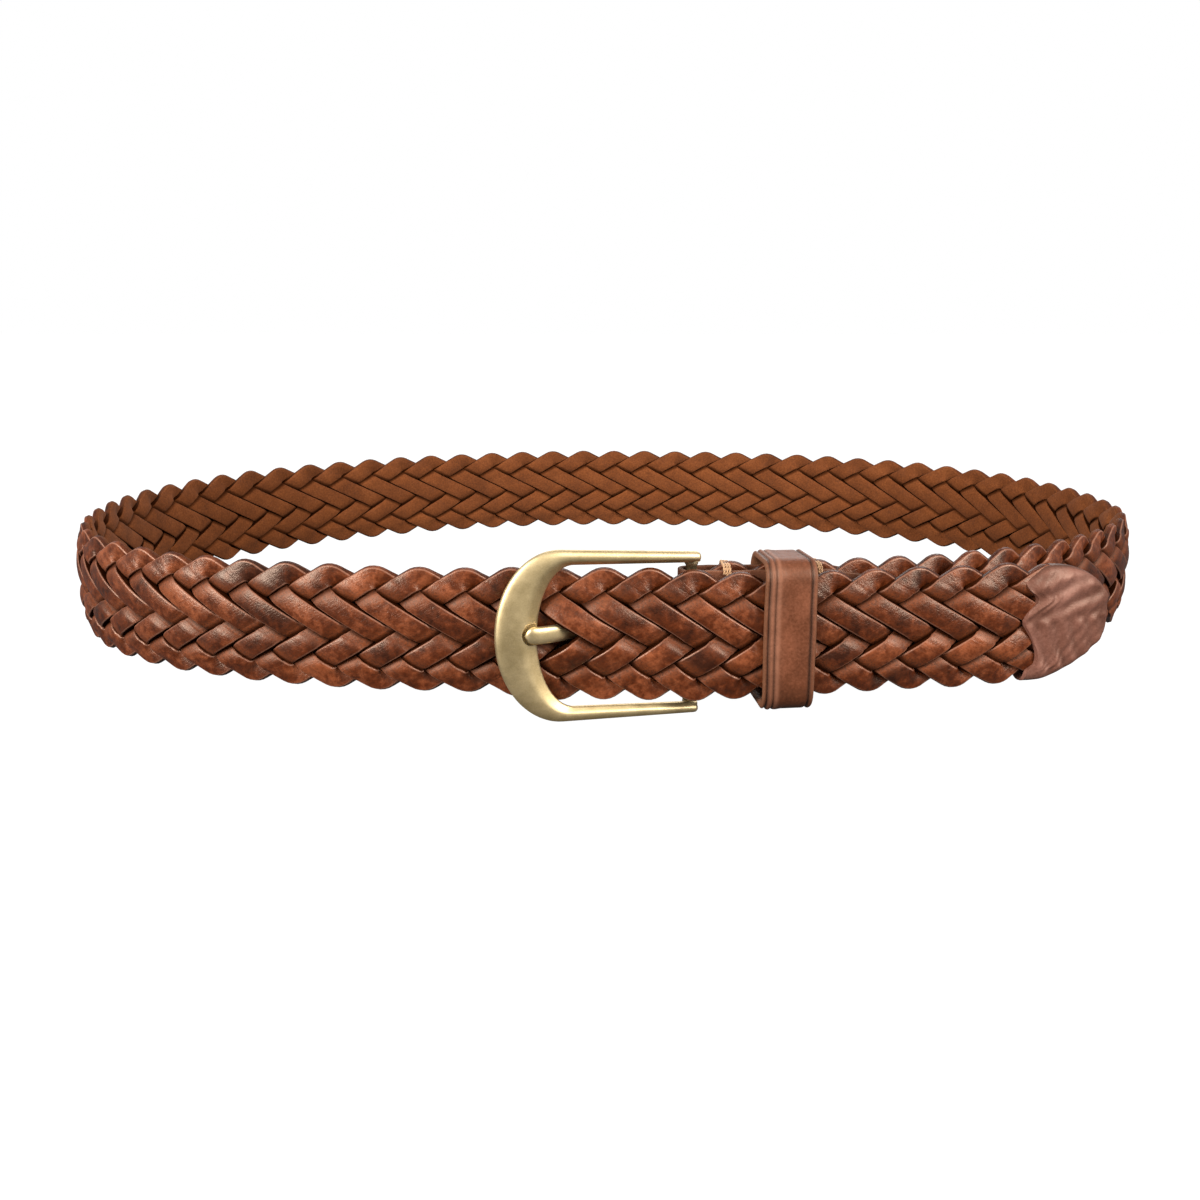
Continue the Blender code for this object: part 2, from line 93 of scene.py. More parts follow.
def squarer(wave, power):
    """A cosine or sine bent so that the round it draws comes closer to a square."""
    return np.sign(wave) * np.abs(wave) ** power


def sines(values, seed, count=5):
    """A smooth wandering value between about -1 and 1, the same on every run."""
    total = np.zeros_like(np.asarray(values, float))
    for k in range(1, count + 1):
        total += np.sin(values * (0.61 * k + 0.37 * math.sin(seed * 1.7 + k)) + seed * 2.399 * k + k * k)
    return total / count * 1.3


# ---- places on the strap ----
def plan_curve():
    """Points of the closed plan, counter-clockwise from the heel bar."""
    angle = np.linspace(0.0, 2 * math.pi, PLAN_STEPS + 1) + PLAN_SHIFT
    across, deep = np.cos(angle), np.sin(angle)
    width = np.where(across > 0, HALF_RIGHT, HALF_LEFT)
    depth = np.where(deep < 0, HALF_FRONT, HALF_BACK)
    front = np.where(across > 0, ROUND_FRONT_RIGHT, ROUND_FRONT_LEFT)
    back = np.where(across > 0, ROUND_BACK_RIGHT, ROUND_BACK_LEFT)
    power = np.where(deep < 0, front, back)
    radius = (np.abs(across / width) ** power + np.abs(deep / depth) ** power) ** (-1 / power)
    points = np.stack([radius * across, radius * deep], axis=1)
    start = np.argmin(np.where(deep < 0, np.abs(points[:, 0] - HEEL_X), np.inf))
    return np.concatenate([points[start:-1], points[: start + 1]])


PLAN = plan_curve()
PLAN_AT = travelled(PLAN)
LOOP = PLAN_AT[-1]
PLAN_WAY = np.gradient(PLAN, axis=0)
PLAN_WAY[0] = PLAN_WAY[-1] = PLAN[1] - PLAN[-2]
PLAN_OUT = unit(np.stack([PLAN_WAY[:, 1], -PLAN_WAY[:, 0]], axis=1))


def layer_offset(along):
    """Offset of the strap's middle: the buckle end lies inside, and the free end stands out to its tip."""
    under = UNDER_OFFSET * (1 - smooth(along, UNDER_END, UNDER_EASE))
    outer = TIP_FLARE * smooth(along - LOOP, FLARE_FROM, FLARE_LENGTH)
    return np.where(along < LOOP / 2, under, outer)


def out_at(along):
    """The outward direction of the plan."""
    turn = np.mod(along, LOOP)
    return unit(np.stack([np.interp(turn, PLAN_AT, PLAN_OUT[:, k]) for k in (0, 1)], axis=-1))


def place(along, offset, height):
    """World points, as an array, from distances along the loop, offsets and heights."""
    along, offset, height = np.broadcast_arrays(along, offset, height)
    turn = np.mod(along, LOOP)
    out = out_at(along)
    x = np.interp(turn, PLAN_AT, PLAN[:, 0]) - ORIGIN_X + out[..., 0] * offset
    y = np.interp(turn, PLAN_AT, PLAN[:, 1]) - ORIGIN_Y + out[..., 1] * offset
    return np.stack([x, y, MID_HEIGHT + height], axis=-1)


# ---- mesh helpers ----
def numbered(points):
    """The points' numbers, in the layout of their rows."""
    return np.arange(points[..., 0].size).reshape(points.shape[:-1])


def loft_faces(points):
    """Faces of a tube through rows of points, with an end face at both ends."""
    index = numbered(points)
    right = np.roll(index, -1, axis=1)
    quads = np.stack([index[:-1], right[:-1], right[1:], index[1:]], axis=-1).reshape(-1, 4)
    return quads.tolist() + [index[0][::-1].tolist(), index[-1].tolist()]


def sheet_quads(points):
    """Faces of an open sheet of points, as a grid of quads."""
    index = numbered(points)
    return np.stack([index[:-1, :-1], index[:-1, 1:], index[1:, 1:], index[1:, :-1]], axis=-1)


def new_object(name, mesh):
    made = bpy.data.objects.new(name, mesh)
    bpy.context.scene.collection.objects.link(made)
    return made


def new_piece(name, points, faces, material, body=None, values=None, maps=None):
    """A smooth piece. values holds its point attributes and maps its UVs, both in the layout of points."""
    mesh = bpy.data.meshes.new(name)
    mesh.from_pydata(points.reshape(-1, 3).tolist(), [], faces)
    mesh.polygons.foreach_set("use_smooth", [True] * len(mesh.polygons))
    if maps is not None:
        corner = np.empty(len(mesh.loops), np.int32)
        mesh.loops.foreach_get("vertex_index", corner)
        layer = mesh.uv_layers.new(name="lace")
        layer.data.foreach_set("uv", maps.reshape(-1, 2)[corner].reshape(-1).astype(np.float32))
    for key, value in (values or {}).items():
        attribute = mesh.attributes.new(key, "FLOAT", "POINT")
        value = np.broadcast_to(value, points.shape[:-1])
        attribute.data.foreach_set("value", value.reshape(-1).astype(np.float32))
    mesh.validate()
    mesh.update()
    mesh.materials.append(material)
    piece = new_object(name, mesh)
    if body:
        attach(piece, body)
    return piece


def loft(name, points, material, body=None, values=None, maps=None):
    """A piece through rows of points, closed round each row and at both ends."""
    return new_piece(name, points, loft_faces(points), material, body, values, maps)


def sharpen(piece, degrees):
    """Keeps the edges sharp where the faces turn by more than this angle."""
    piece.data.set_sharp_from_angle(angle=math.radians(degrees))


# ---- materials ----
class Shader:
    """The node tree of a material or world: new nodes are made by type, with inputs by name."""

    def __init__(self, owner):
        owner.use_nodes = True
        self.owner, self.tree = owner, owner.node_tree

    def node(self, kind, settings=None, **inputs):
        node = self.tree.nodes.new("ShaderNode" + kind)
        for key, value in (settings or {}).items():
            setattr(node, key, value)
        for key, value in inputs.items():
            self.set(node, key.replace("_", " "), value)
        return node

    def set(self, node, key, value):
        """Links an input to a socket, or gives it a value. The key is the input's name or number."""
        if isinstance(value, bpy.types.NodeSocket):
            self.tree.links.new(value, node.inputs[key])
        else:
            node.inputs[key].default_value = value

    def ramp(self, factor, *stops):
        """A colour ramp with (position, colour or grey) stops."""
        node = self.node("ValToRGB", Fac=factor)
        elements = node.color_ramp.elements
        while len(elements) < len(stops):
            elements.new(0.5)
        for element, (position, colour) in zip(elements, stops):
            element.position = position
            element.color = colour if isinstance(colour, tuple) else (colour, colour, colour, 1.0)
        return node.outputs["Color"]

    def mix(self, factor, first, second):
        """Two colours mixed. The colour version of this node has its colours at inputs 6 and 7."""
        node = self.node("Mix", {"data_type": "RGBA"})
        self.set(node, 0, factor)
        self.set(node, 6, first)
        self.set(node, 7, second)
        return node.outputs[2]

    def math(self, operation, first, second, clamp=False):
        node = self.node("Math", {"operation": operation, "use_clamp": clamp})
        self.set(node, 0, first)
        self.set(node, 1, second)
        return node.outputs[0]

    def share(self, value, part):
        return self.math("MULTIPLY", value, part)

    def add(self, first, second):
        return self.math("ADD", first, second)

    def blend(self, *shares):
        """The sum of (value, part of it) pairs."""
        total = self.share(*shares[0])
        for value, part in shares[1:]:
            total = self.add(total, self.share(value, part))
        return total

    def rise(self, value, low, high, most):
        """0 up to low, and most from high on."""
        return self.ramp(value, (low, 0.0), (high, most))

    def spot(self):
        """The place on the piece, in metres."""
        return self.node("TexCoord").outputs["Object"]

    def attribute(self, name):
        return self.node("Attribute", {"attribute_name": name}).outputs["Fac"]

    def noise(self, vector, scale, detail=4.0, roughness=0.55, distortion=0.0):
        node = self.node("TexNoise", Vector=vector, Scale=scale, Detail=detail)
        self.set(node, "Roughness", roughness)
        self.set(node, "Distortion", distortion)
        return node.outputs["Fac"]

    def cells(self, vector, scale):
        return self.node("TexVoronoi", Vector=vector, Scale=scale).outputs["Distance"]

    def scaled(self, vector, scale):
        return self.node("Mapping", Vector=vector, Scale=scale).outputs[0]

    def bump(self, height, strength, distance, normal=None):
        node = self.node("Bump", Height=height, Strength=strength, Distance=distance)
        if normal is not None:
            self.set(node, "Normal", normal)
        return node.outputs[0]

    def join(self, kind, *inputs):
        """A node that takes its inputs by number."""
        node = self.node(kind)
        for number, value in enumerate(inputs):
            self.set(node, number, value)
        return node.outputs[0]

    def finish(self, colour, roughness, normal, **others):
        """Fills in the material's main node and returns the material."""
        main = self.tree.nodes["Principled BSDF"]
        inputs = {"Base_Color": colour, "Roughness": roughness, "Normal": normal, **others}
        for key, value in inputs.items():
            self.set(main, key.replace("_", " "), value)
        return self.owner


def new_material(name):
    return Shader(bpy.data.materials.new(name))


def rgb(red, green, blue):
    return (red, green, blue, 1.0)


WARM_SHEEN = rgb(1.0, 0.72, 0.54)


def lace_colour(s, dive, patches, mottle, fine, pores, streaks):
    """Colour of a lace's grain side: patchy, with streaks and dark specks, and redder, grainier and more
    specked where it dives, which is painted shade near the crossing together with the bent grain there.
    """
    blotches = s.blend((patches, 0.36), (mottle, 0.46), (s.attribute("tone"), 0.18))
    dark, middle, light = rgb(0.024, 0.0036, 0.0005), rgb(0.088, 0.0155, 0.0024), rgb(0.222, 0.056, 0.018)
    colour = s.ramp(blotches, (0.38, dark), (0.50, middle), (0.62, light))
    # Towards a dive the colour turns redder and grainier: painted shade near the crossing together with the
    # bent grain there.
    ends = s.mix(fine, rgb(0.038, 0.0055, 0.0006), rgb(0.215, 0.045, 0.0075))
    colour = s.mix(s.rise(dive, 0.10, 0.70, 0.85), colour, ends)
    colour = s.mix(s.share(s.rise(streaks, 0.45, 0.70, 1.0), 0.40), colour, rgb(0.060, 0.018, 0.008))
    specks = s.ramp(s.add(fine, s.share(pores, 0.25)), (0.48, 1.0), (0.62, 0.0))
    # The dark specks thicken towards a dive: painted shade near the crossing.
    strength = s.add(0.26, s.share(dive, 0.48))
    return s.mix(s.math("MULTIPLY", specks, strength), colour, rgb(0.036, 0.009, 0.003))


def lace_leather():
    """Grain leather outside, raw flesh side inside, with painted shade on the side walls and where a lace
    dives under another, and a painted highlight along the bevels.
    """
    s = new_material("lace leather")
    spot = s.spot()
    lace = s.node("UVMap", {"uv_map": "lace"}).outputs[0]
    grain, dive = s.attribute("grain"), s.attribute("dive")
    patches = s.noise(spot, 110.0)
    mottle = s.noise(spot, 480.0, 5.0, 0.62)
    fine = s.noise(spot, 1500.0, 5.0, 0.65)
    pores = s.cells(spot, 2300.0)
    streaks = s.noise(s.scaled(lace, (140.0, 1500.0, 1.0)), 1.0, 5.0, 0.6, 0.4)
    wrinkles = s.noise(s.scaled(lace, (700.0, 110.0, 1.0)), 1.0, 3.0, 0.55, 1.4)
    outside = lace_colour(s, dive, patches, mottle, fine, pores, streaks)
    dark, middle, light = rgb(0.062, 0.014, 0.002), rgb(0.132, 0.033, 0.006), rgb(0.215, 0.062, 0.015)
    inside = s.ramp(s.blend((fine, 0.62), (patches, 0.38)), (0.32, dark), (0.52, middle), (0.72, light))
    colour = s.mix(s.rise(grain, 0.30, 0.55, 1.0), inside, outside)
    # The bevels of the outer face are lightened: wear of the edges together with a painted highlight.
    rim_wear_and_highlight = s.mix(fine, rgb(0.150, 0.052, 0.026), rgb(0.380, 0.180, 0.115))
    colour = s.mix(s.share(s.attribute("rim"), 0.60), colour, rim_wear_and_highlight)
    # Painted shade: the side walls, and the end of a run where it dives under a crossing lace, are darkened
    # nearly to black.
    crevice_shade = s.math("MAXIMUM", s.attribute("edge"), s.rise(dive, 0.80, 1.0, 0.90), True)
    colour = s.mix(s.share(crevice_shade, 0.92), colour, rgb(0.010, 0.0025, 0.0008))
    roughness = s.add(s.ramp(grain, (0.30, 0.84), (0.65, 0.24)), s.share(mottle, 0.26))
    roughness = s.add(roughness, s.share(dive, 0.25))
    normal = s.bump(s.blend((pores, 0.40), (fine, 0.60)), 0.42, 0.00018)
    folds = s.blend((wrinkles, 0.6), (streaks, 0.4), (mottle, 0.8))
    normal = s.bump(folds, 0.50, 0.00030, normal)
    # The shine is turned down where that shade is painted.
    shine = s.share(s.math("SUBTRACT", 1.0, crevice_shade), 0.58)
    return s.finish(colour, roughness, normal, Specular_IOR_Level=shine, Specular_Tint=WARM_SHEEN)


def grain_leather(name, low, middle, high, gloss=0.40):
    """Pebbled leather with soft colour patches, with painted shade in the creases and a lighter colour on
    ridges that is wear together with a painted highlight.
    """
    s = new_material(name)
    spot = s.spot()
    patches = s.noise(spot, 60.0, 4.0, 0.6)
    fine = s.noise(spot, 1300.0, 5.0, 0.65)
    pebbles = s.cells(spot, 1500.0)
    colour = s.ramp(s.blend((patches, 0.7), (fine, 0.3)), (0.34, low), (0.50, middle), (0.68, high))
    # Painted shade: the creases are darkened.
    colour = s.mix(s.rise(s.attribute("crease"), 0.0, 1.0, 0.8), colour, rgb(0.024, 0.007, 0.003))
    # Ridges are lightened: wear together with a painted highlight.
    worn_and_highlit = s.mix(patches, high, rgb(0.44, 0.215, 0.135))
    colour = s.mix(s.share(s.attribute("wear_and_highlight"), 0.75), colour, worn_and_highlit)
    raw = s.mix(fine, rgb(0.075, 0.026, 0.012), rgb(0.21, 0.085, 0.040))
    colour = s.mix(s.attribute("edge"), colour, raw)
    roughness = s.add(gloss, s.share(fine, 0.28))
    normal = s.bump(s.blend((pebbles, 0.55), (fine, 0.45)), 0.35, 0.00016)
    normal = s.bump(patches, 0.25, 0.0009, normal)
    return s.finish(colour, roughness, normal, Specular_IOR_Level=0.5, Specular_Tint=WARM_SHEEN)


def antique_brass(name, dark, light, roughness):
    """Satin antique brass: brushed, patchy, dark in the recesses and brighter where it is rubbed."""
    s = new_material(name)
    spot = s.spot()
    patches = s.noise(spot, 120.0, 5.0, 0.62)
    brushing = s.noise(s.scaled(spot, (500.0, 500.0, 3200.0)), 1.0, 4.0, 0.6)
    specks = s.noise(spot, 2600.0, 3.0, 0.7)
    rubbed = s.node("NewGeometry").outputs["Pointiness"]
    colour = s.ramp(s.blend((patches, 0.65), (specks, 0.35)), (0.36, dark), (0.62, light))
    colour = s.mix(s.rise(rubbed, 0.50, 0.56, 0.5), colour, rgb(0.80, 0.66, 0.42))
    colour = s.mix(s.ramp(rubbed, (0.40, 0.8), (0.49, 0.0)), colour, rgb(0.12, 0.085, 0.04))
    rough = s.add(roughness, s.share(s.add(patches, brushing), 0.12))
    normal = s.bump(brushing, 0.10, 0.00005)
    normal = s.bump(specks, 0.12, 0.00005, normal)
    return s.finish(colour, rough, normal, Metallic=1.0)


def thread_material():
    """Light tan cotton."""
    s = new_material("binding thread")
    fibres = s.noise(s.spot(), 4200.0, 4.0, 0.7)
    colour = s.mix(fibres, rgb(0.30, 0.14, 0.055), rgb(0.58, 0.34, 0.16))
    return s.finish(colour, 0.78, s.bump(fibres, 0.5, 0.0001), Sheen_Weight=0.3)


# ---- plait: eight flat laces on a slanting lattice ----
LACES = 8
ROW_HEIGHT = 0.00368
PITCH_FRONT, PITCH_BACK = 0.0123, 0.0146
LACE_COVER, LACE_THICKNESS, LACE_LEVEL = 1.045, 0.0025, 0.00145
LACE_BULGE, LACE_BULGE_INSIDE, LACE_CROWN, LACE_CUP = 0.00095, 0.00040, 0.00014, 0.00030
LACE_BULGE_AT_TURN = 0.35
LACE_BEVEL, LACE_SLOPE = 0.00050, 0.00034
LACE_DRIFT, LACE_CURL, CURL_POWER = 0.00020, 0.75, 0.8
UNEVEN_WIDTH, UNEVEN_THICKNESS, UNEVEN_LEVEL = 0.010, 0.06, 0.10
DIVE_FROM, DIVE_LENGTH, MAP_STEP = 0.12, 0.62, 0.37
HOLE_PHASE, PRONG_LIFT = 0.5, 0.0012
PRONG_HEIGHT = BUCKLE_RISE + PRONG_LIFT
PUSH_OUT, PUSH_IN = 0.0032, 0.0031
PUSH_FLAT_Z, PUSH_END_Z = 0.0026, 0.0095
PUSH_LAP, PUSH_REACH_RIGHT, PUSH_REACH_LEFT = 0.0030, 0.0240, 0.0150
DROOP, DROOP_FROM, DROOP_LENGTH = 0.0013, -0.012, 0.028
DROOP_LESS, DROOP_LESS_FROM, DROOP_LESS_LENGTH = 0.0009, 0.075, 0.030
SPREAD_ALL, SPREAD_UPPER, SPREAD_LOWER = 1.008, 0.012, 0.110
SPREAD_FROM, SPREAD_TO, SPREAD_LENGTH = -0.056, 0.004, 0.014
FLAT_IN_CHAPE, FLAT_IN_TAB, SMALL_IN_TAB = 0.38, 0.42, 0.07
CHAPE_EASE_FROM, CHAPE_EASE, TAB_EASE = 0.052, 0.9, 0.7
PHASE_STEP, TABLE_END, TABLE_STEPS = 0.05, 0.03, 8000
# A lace's path takes sixteen lattice cells, down across the strap and up again, and turns at 0, 8 and 16.
HALF_PATH, PATH = 8, 16
TURN_HALF, CROSS_HALF, TURNING_HALF = 0.80, 0.46, 1.15
# Where a lace changes side along its path: (middle, half length, side after). It starts inside.
LEVEL_CHANGES = [
    (middle, CROSS_HALF if middle % HALF_PATH else TURN_HALF, 1 if number % 2 else -1)
    for number, middle in enumerate((0.0, 1.5, 4.5, 6.5, 8.0, 9.5, 11.5, 14.5, 16.0))
]
CROSSINGS = np.array([middle for middle, _, _ in LEVEL_CHANGES if middle % HALF_PATH])
# Places along the path where a lace runs under its neighbours, so that a cut there is out of sight.
HIDDEN_SPOTS = (0.75, 5.5, 8.75, 13.0)
# The laces are cut at these distances from the heel bar. The spans after them are passed to bend, which does
# not bend the laces.
CUT_BEHIND_BOW, CUT_AT_BAR, CUT_IN_KEEPER, PAST_TAB_EDGE = -0.0500, -0.0060, 0.0240, 0.0085
BEND_LEFT, BEND_RIGHT, BEND_TIP = (-0.0380, -0.0240), (0.0040, 0.0170), (0.0330, 0.0480)
LACES_END = LOOP + TIP_END - TAB_LENGTH + PAST_TAB_EDGE
TAB_EASE_FROM = LOOP + TIP_END - TAB_LENGTH - 0.004


def pitch_table():
    """Distances along the strap and the plait's phase there, which is HOLE_PHASE at the prong's hole."""
    along = np.linspace(-TABLE_END, LOOP + TIP_END + TABLE_END, TABLE_STEPS)
    middle, swing = (PITCH_FRONT + PITCH_BACK) / 2, (PITCH_BACK - PITCH_FRONT) / 2
    pitch = middle - swing * np.cos(2 * math.pi * along / LOOP)
    phase = np.concatenate([[0.0], np.cumsum(np.diff(along) * 2 / (pitch[1:] + pitch[:-1]))])
    return along, phase - np.interp(LOOP + HOLE_AT, along, phase) + HOLE_PHASE


BRAID_AT, BRAID_PHASE = pitch_table()


def along_of(phase):
    return np.interp(phase, BRAID_PHASE, BRAID_AT)


def phase_of(along):
    return np.interp(along, BRAID_AT, BRAID_PHASE)


def lattice_point(xi, eta):
    """Distance along the strap and height of a lattice point, from its two slanting lattice numbers."""
    return along_of((xi + eta) / 2), ROW_HEIGHT * (LACES / 2 - (eta - xi))


def lace_level(path):
    """Side of a lace along its path: 1 outside, -1 inside, with a little more in the middle of each run."""
    level = np.ones_like(path)
    for (middle, half, after), (following, _, _) in zip(LEVEL_CHANGES, LEVEL_CHANGES[1:]):
        change = after * (2 * smooth(path, middle - half, 2 * half) - 1)
        level = np.where(path > middle - half, change, level)
        run = np.clip((path - middle) / (following - middle), 0.0, 1.0)
        bulge = LACE_BULGE if after > 0 else -LACE_BULGE_INSIDE
        if middle % HALF_PATH == 0 or following % HALF_PATH == 0:
            bulge *= LACE_BULGE_AT_TURN
        level = level + bulge / LACE_LEVEL * np.sin(math.pi * run)
    fall = 1 - 2 * smooth(path, PATH - TURN_HALF, 2 * TURN_HALF)
    return np.where(path > PATH - TURN_HALF, fall, level)


def lace_edges(lace, phase):
    """Both edges of a lace as (along, height) pairs, its path and how near it is to a turn."""
    half = LACE_COVER / 2
    base = lace + LACES * np.floor((phase - lace - half / 2) / LACES)
    path = 2 * (phase - base)
    cell = np.interp(phase, BRAID_PHASE, np.gradient(BRAID_AT, BRAID_PHASE)) / 2
    wide = LACE_COVER * 2 * cell * ROW_HEIGHT / np.hypot(cell, ROW_HEIGHT)
    most, lean = np.arctan2(cell, ROW_HEIGHT), np.arctan2(ROW_HEIGHT, cell)

    def fan(pivot, middle, sign):
        """The edge that swings round the other one at a turn."""
        theta = np.clip((path - middle) / half, -1, 1) * most
        reach = wide / np.cos(np.maximum(np.abs(theta) - lean, 0.0))
        return pivot[0] + reach * np.sin(theta), pivot[1] + sign * reach * np.cos(theta)

    turn = base + LACES
    rising = base + path - HALF_PATH
    low_turn, high_turn = lattice_point(base + half, turn - half), lattice_point(turn - half, turn + half)
    down_a, down_b = lattice_point(base + half, base + path), lattice_point(base - half, base + path)
    up_a, up_b = lattice_point(rising, turn - half), lattice_point(rising, turn + half)
    swept_b, swept_a = fan(low_turn, HALF_PATH, -1), fan(high_turn, PATH, 1)
    choice = [path < HALF_PATH - half, path < HALF_PATH + half, path < PATH - half]
    edges = []
    for options in ((down_a, low_turn, up_a, swept_a), (down_b, swept_b, up_b, high_turn)):
        edges.append([np.select(choice, [o[k] for o in options[:3]], options[3][k]) for k in (0, 1)])
    from_turn = np.min([np.abs(path - at) for at in (0, HALF_PATH, PATH)], axis=0)
    return edges[0], edges[1], path, np.clip(1 - from_turn / TURNING_HALF, 0.0, 1.0)


def prong_push(lace, phase, along, height):
    """How far a lace is pushed aside near the hole: right of it over the prong, left of it under."""
    cycle = np.floor((phase - lace) / LACES)
    downward = np.mod(2 * (phase - lace), PATH) < HALF_PATH
    line = lace + LACES * cycle + np.where(downward, 0, LACES)
    right = line > HOLE_PHASE + np.where(downward, -2, 2)
    past = along - LOOP - HOLE_AT
    near = 1 - smooth(np.abs(height - PRONG_HEIGHT), PUSH_FLAT_Z, PUSH_END_Z - PUSH_FLAT_Z)
    out = PUSH_OUT * near * (1 - smooth(past, -PUSH_LAP, PUSH_REACH_RIGHT))
    back = -PUSH_IN * near * (1 - smooth(-past, -PUSH_LAP, PUSH_REACH_LEFT))
    return np.where(right, out, back)


def spread(along, height):
    """How much the strap widens where the prong and the bar lift it, mostly along its lower edge."""
    past = along - LOOP
    rise = smooth(past, SPREAD_FROM, SPREAD_LENGTH) * (1 - smooth(past, SPREAD_TO, SPREAD_LENGTH))
    return SPREAD_ALL + np.where(height < 0, SPREAD_LOWER, SPREAD_UPPER) * rise


def droop(along):
    """How far the free end hangs below the rest, most of it between the buckle and the tip."""
    past = along - LOOP
    less = DROOP_LESS * smooth(past, DROOP_LESS_FROM, DROOP_LESS_LENGTH)
    return DROOP * smooth(past, DROOP_FROM, DROOP_LENGTH) - less


def lace_section():
    """Points round a lace's section, from its right side over the outer face and back along the inner face.

    A point is flat * (half size - bevel) + corner * bevel, across the lace and through its thickness.
    """
    rows = [(1, 0, 0)]
    rows += [(1, 1, angle) for angle in (8, 35, 62, 90)]
    rows += [(0.5, 1, 90), (0.0, 1, 90), (-0.5, 1, 90)]
    rows += [(-1, 1, angle) for angle in (90, 118, 145, 172)]
    rows += [(-1, 0, 180)]
    rows += [(-1, -1, angle) for angle in (190, 225, 270)]
    rows += [(-0.4, -1, 270), (0.4, -1, 270)]
    rows += [(1, -1, angle) for angle in (270, 315, 350)]
    flat, deep, angle = np.array(rows, float).T
    return flat, np.cos(np.radians(angle)), deep, np.sin(np.radians(angle))


def lace_sides(lace, phase):
    """Both edges of a lace as world points, its level, its path and how near it is to a turn."""
    one, other, path, turning = lace_edges(lace, phase)
    in_chape = smooth(phase, phase_of(CHAPE_EASE_FROM), CHAPE_EASE)
    in_tab = smooth(phase, phase_of(TAB_EASE_FROM), TAB_EASE)
    level = lace_level(path) + UNEVEN_LEVEL * sines(phase * 2.1, lace + 3.1)
    level = level * (1 - FLAT_IN_CHAPE * (1 - in_chape) - FLAT_IN_TAB * in_tab)
    drift = LACE_DRIFT * sines(phase * 1.3, lace + 0.5) * turning
    near_low = (path > 4) & (path < 12)
    sides = []
    for (along, height), outer in ((one, ~near_low), (other, near_low)):
        height = height - drift * np.sign(height)
        height = height * spread(along, height) * (1 - SMALL_IN_TAB * in_tab) - droop(along)
        offset = layer_offset(along) + LACE_LEVEL * level * (1 - LACE_CURL * turning ** CURL_POWER * outer)
        pushed = prong_push(lace, phase, along, height)
        offset = offset + np.where(phase > phase_of(LOOP / 2), pushed, 0.0)
        sides.append(place(along, offset, height))
    return sides[0], sides[1], level, path, turning


def lace_piece(name, lace, start, end, material, body=None):
    """One lace between two distances along the strap."""
    first, last = phase_of(start), phase_of(end)
    phase = np.linspace(first, last, max(6, int(math.ceil((last - first) / PHASE_STEP))))
    one, other, level, path, turning = lace_sides(lace, phase)
    middle, across = (one + other) / 2, other - one
    width = np.linalg.norm(across, axis=1, keepdims=True)
    side = across / width
    normal = unit(np.cross(side, np.gradient(middle, axis=0)))
    flat, corner, deep, turn = (part[None, :] for part in lace_section())
    reach = width / 2 * (1 + UNEVEN_WIDTH * sines(phase * 1.3, lace + 0.5)[:, None]) - LACE_BEVEL
    slope = np.sign(corner) * np.where(np.abs(turn) < 0.1, LACE_SLOPE * (deep == 0), 0.0) - LACE_SLOPE * flat
    away = reach * flat + LACE_BEVEL * corner + slope
    uneven = 1 + UNEVEN_THICKNESS * sines(phase * 1.7, lace + 7.3)[:, None]
    thick = LACE_THICKNESS / 2 * uneven - LACE_BEVEL
    rise = thick * deep + LACE_BEVEL * turn + LACE_CROWN * (1 - flat**2) * (deep > 0)
    rise = rise - LACE_CUP * np.clip(level, -1, 1)[:, None] * (2 * away / width) ** 2
    points = middle[:, None, :] + side[:, None, :] * away[:, :, None] + normal[:, None, :] * rise[:, :, None]
    round_section = np.cumsum(np.hypot(*np.gradient(points[len(points) // 2], axis=0).T[:2]))
    down_lace = travelled(middle)[:, None] + lace * MAP_STEP
    maps = np.stack(np.broadcast_arrays(down_lace, round_section[None, :]), axis=-1)
    ends = np.abs(path[:, None] - CROSSINGS[None, :]).min(axis=1)
    dive = 1 - smooth(ends, DIVE_FROM, DIVE_LENGTH)[:, None]
    values = {
        "grain": np.clip(0.5 + turn * 1.2 + 0.3 * (deep > 0), 0.0, 1.0),
        # Where the side walls get their painted shade, less near a turn.
        "edge": (np.abs(turn) < 0.25) * (1 - 0.8 * turning[:, None]),
        # Where the outer bevels get their painted highlight and wear, less near a dive.
        "rim": ((turn > 0.25) & (turn < 0.95)) * (1 - 0.7 * dive),
        "dive": dive,
        "tone": (0.5 + 0.5 * sines(phase * 0.9, lace + 11.0))[:, None],
    }
    return loft(name, points, material, body, values, maps)


def hidden_cut(lace, along):
    """The distance nearest to a cut where the lace runs under its neighbours."""
    wanted = phase_of(along)
    base = lace + LACES * math.floor((wanted - lace) / LACES)
    phases = [base + LACES * cycle + spot / 2 for cycle in (-1, 0, 1) for spot in HIDDEN_SPOTS]
    return float(along_of(min(phases, key=lambda phase: abs(phase - wanted))))


def bend(piece, span):
    """Bakes the piece's placement into its points; the places at the span's ends are worked out but not
    used.
    """
    start, end = (Vector(place(LOOP + past, 0.0, 0.0).tolist()) for past in span)
    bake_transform(piece)


def braid(leather):
    """The laces in four lengths: the loop, both sides of the heel bar, and the free tip."""
    in_keeper = LOOP + CUT_IN_KEEPER
    for lace in range(1, LACES + 1):
        behind_bow, at_bar = hidden_cut(lace, LOOP + CUT_BEHIND_BOW), hidden_cut(lace, LOOP + CUT_AT_BAR)
        around = lace_piece(f"braid_loop_{lace}", lace, STRAP_START, behind_bow, leather, "strap")
        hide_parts(f"loop_strand_{lace}")
        left = lace_piece(f"braid_buckle_left_{lace}", lace, behind_bow, at_bar, leather)
        bend(left, BEND_LEFT)
        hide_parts(f"buckle_strand_{lace}")
        right = lace_piece(f"braid_buckle_right_{lace}", lace, at_bar, in_keeper, leather)
        bend(right, BEND_RIGHT)
        tip = lace_piece(f"braid_tip_{lace}", lace, in_keeper, LACES_END, leather)
        bend(tip, BEND_TIP)
        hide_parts(f"tip_strand_{lace}")


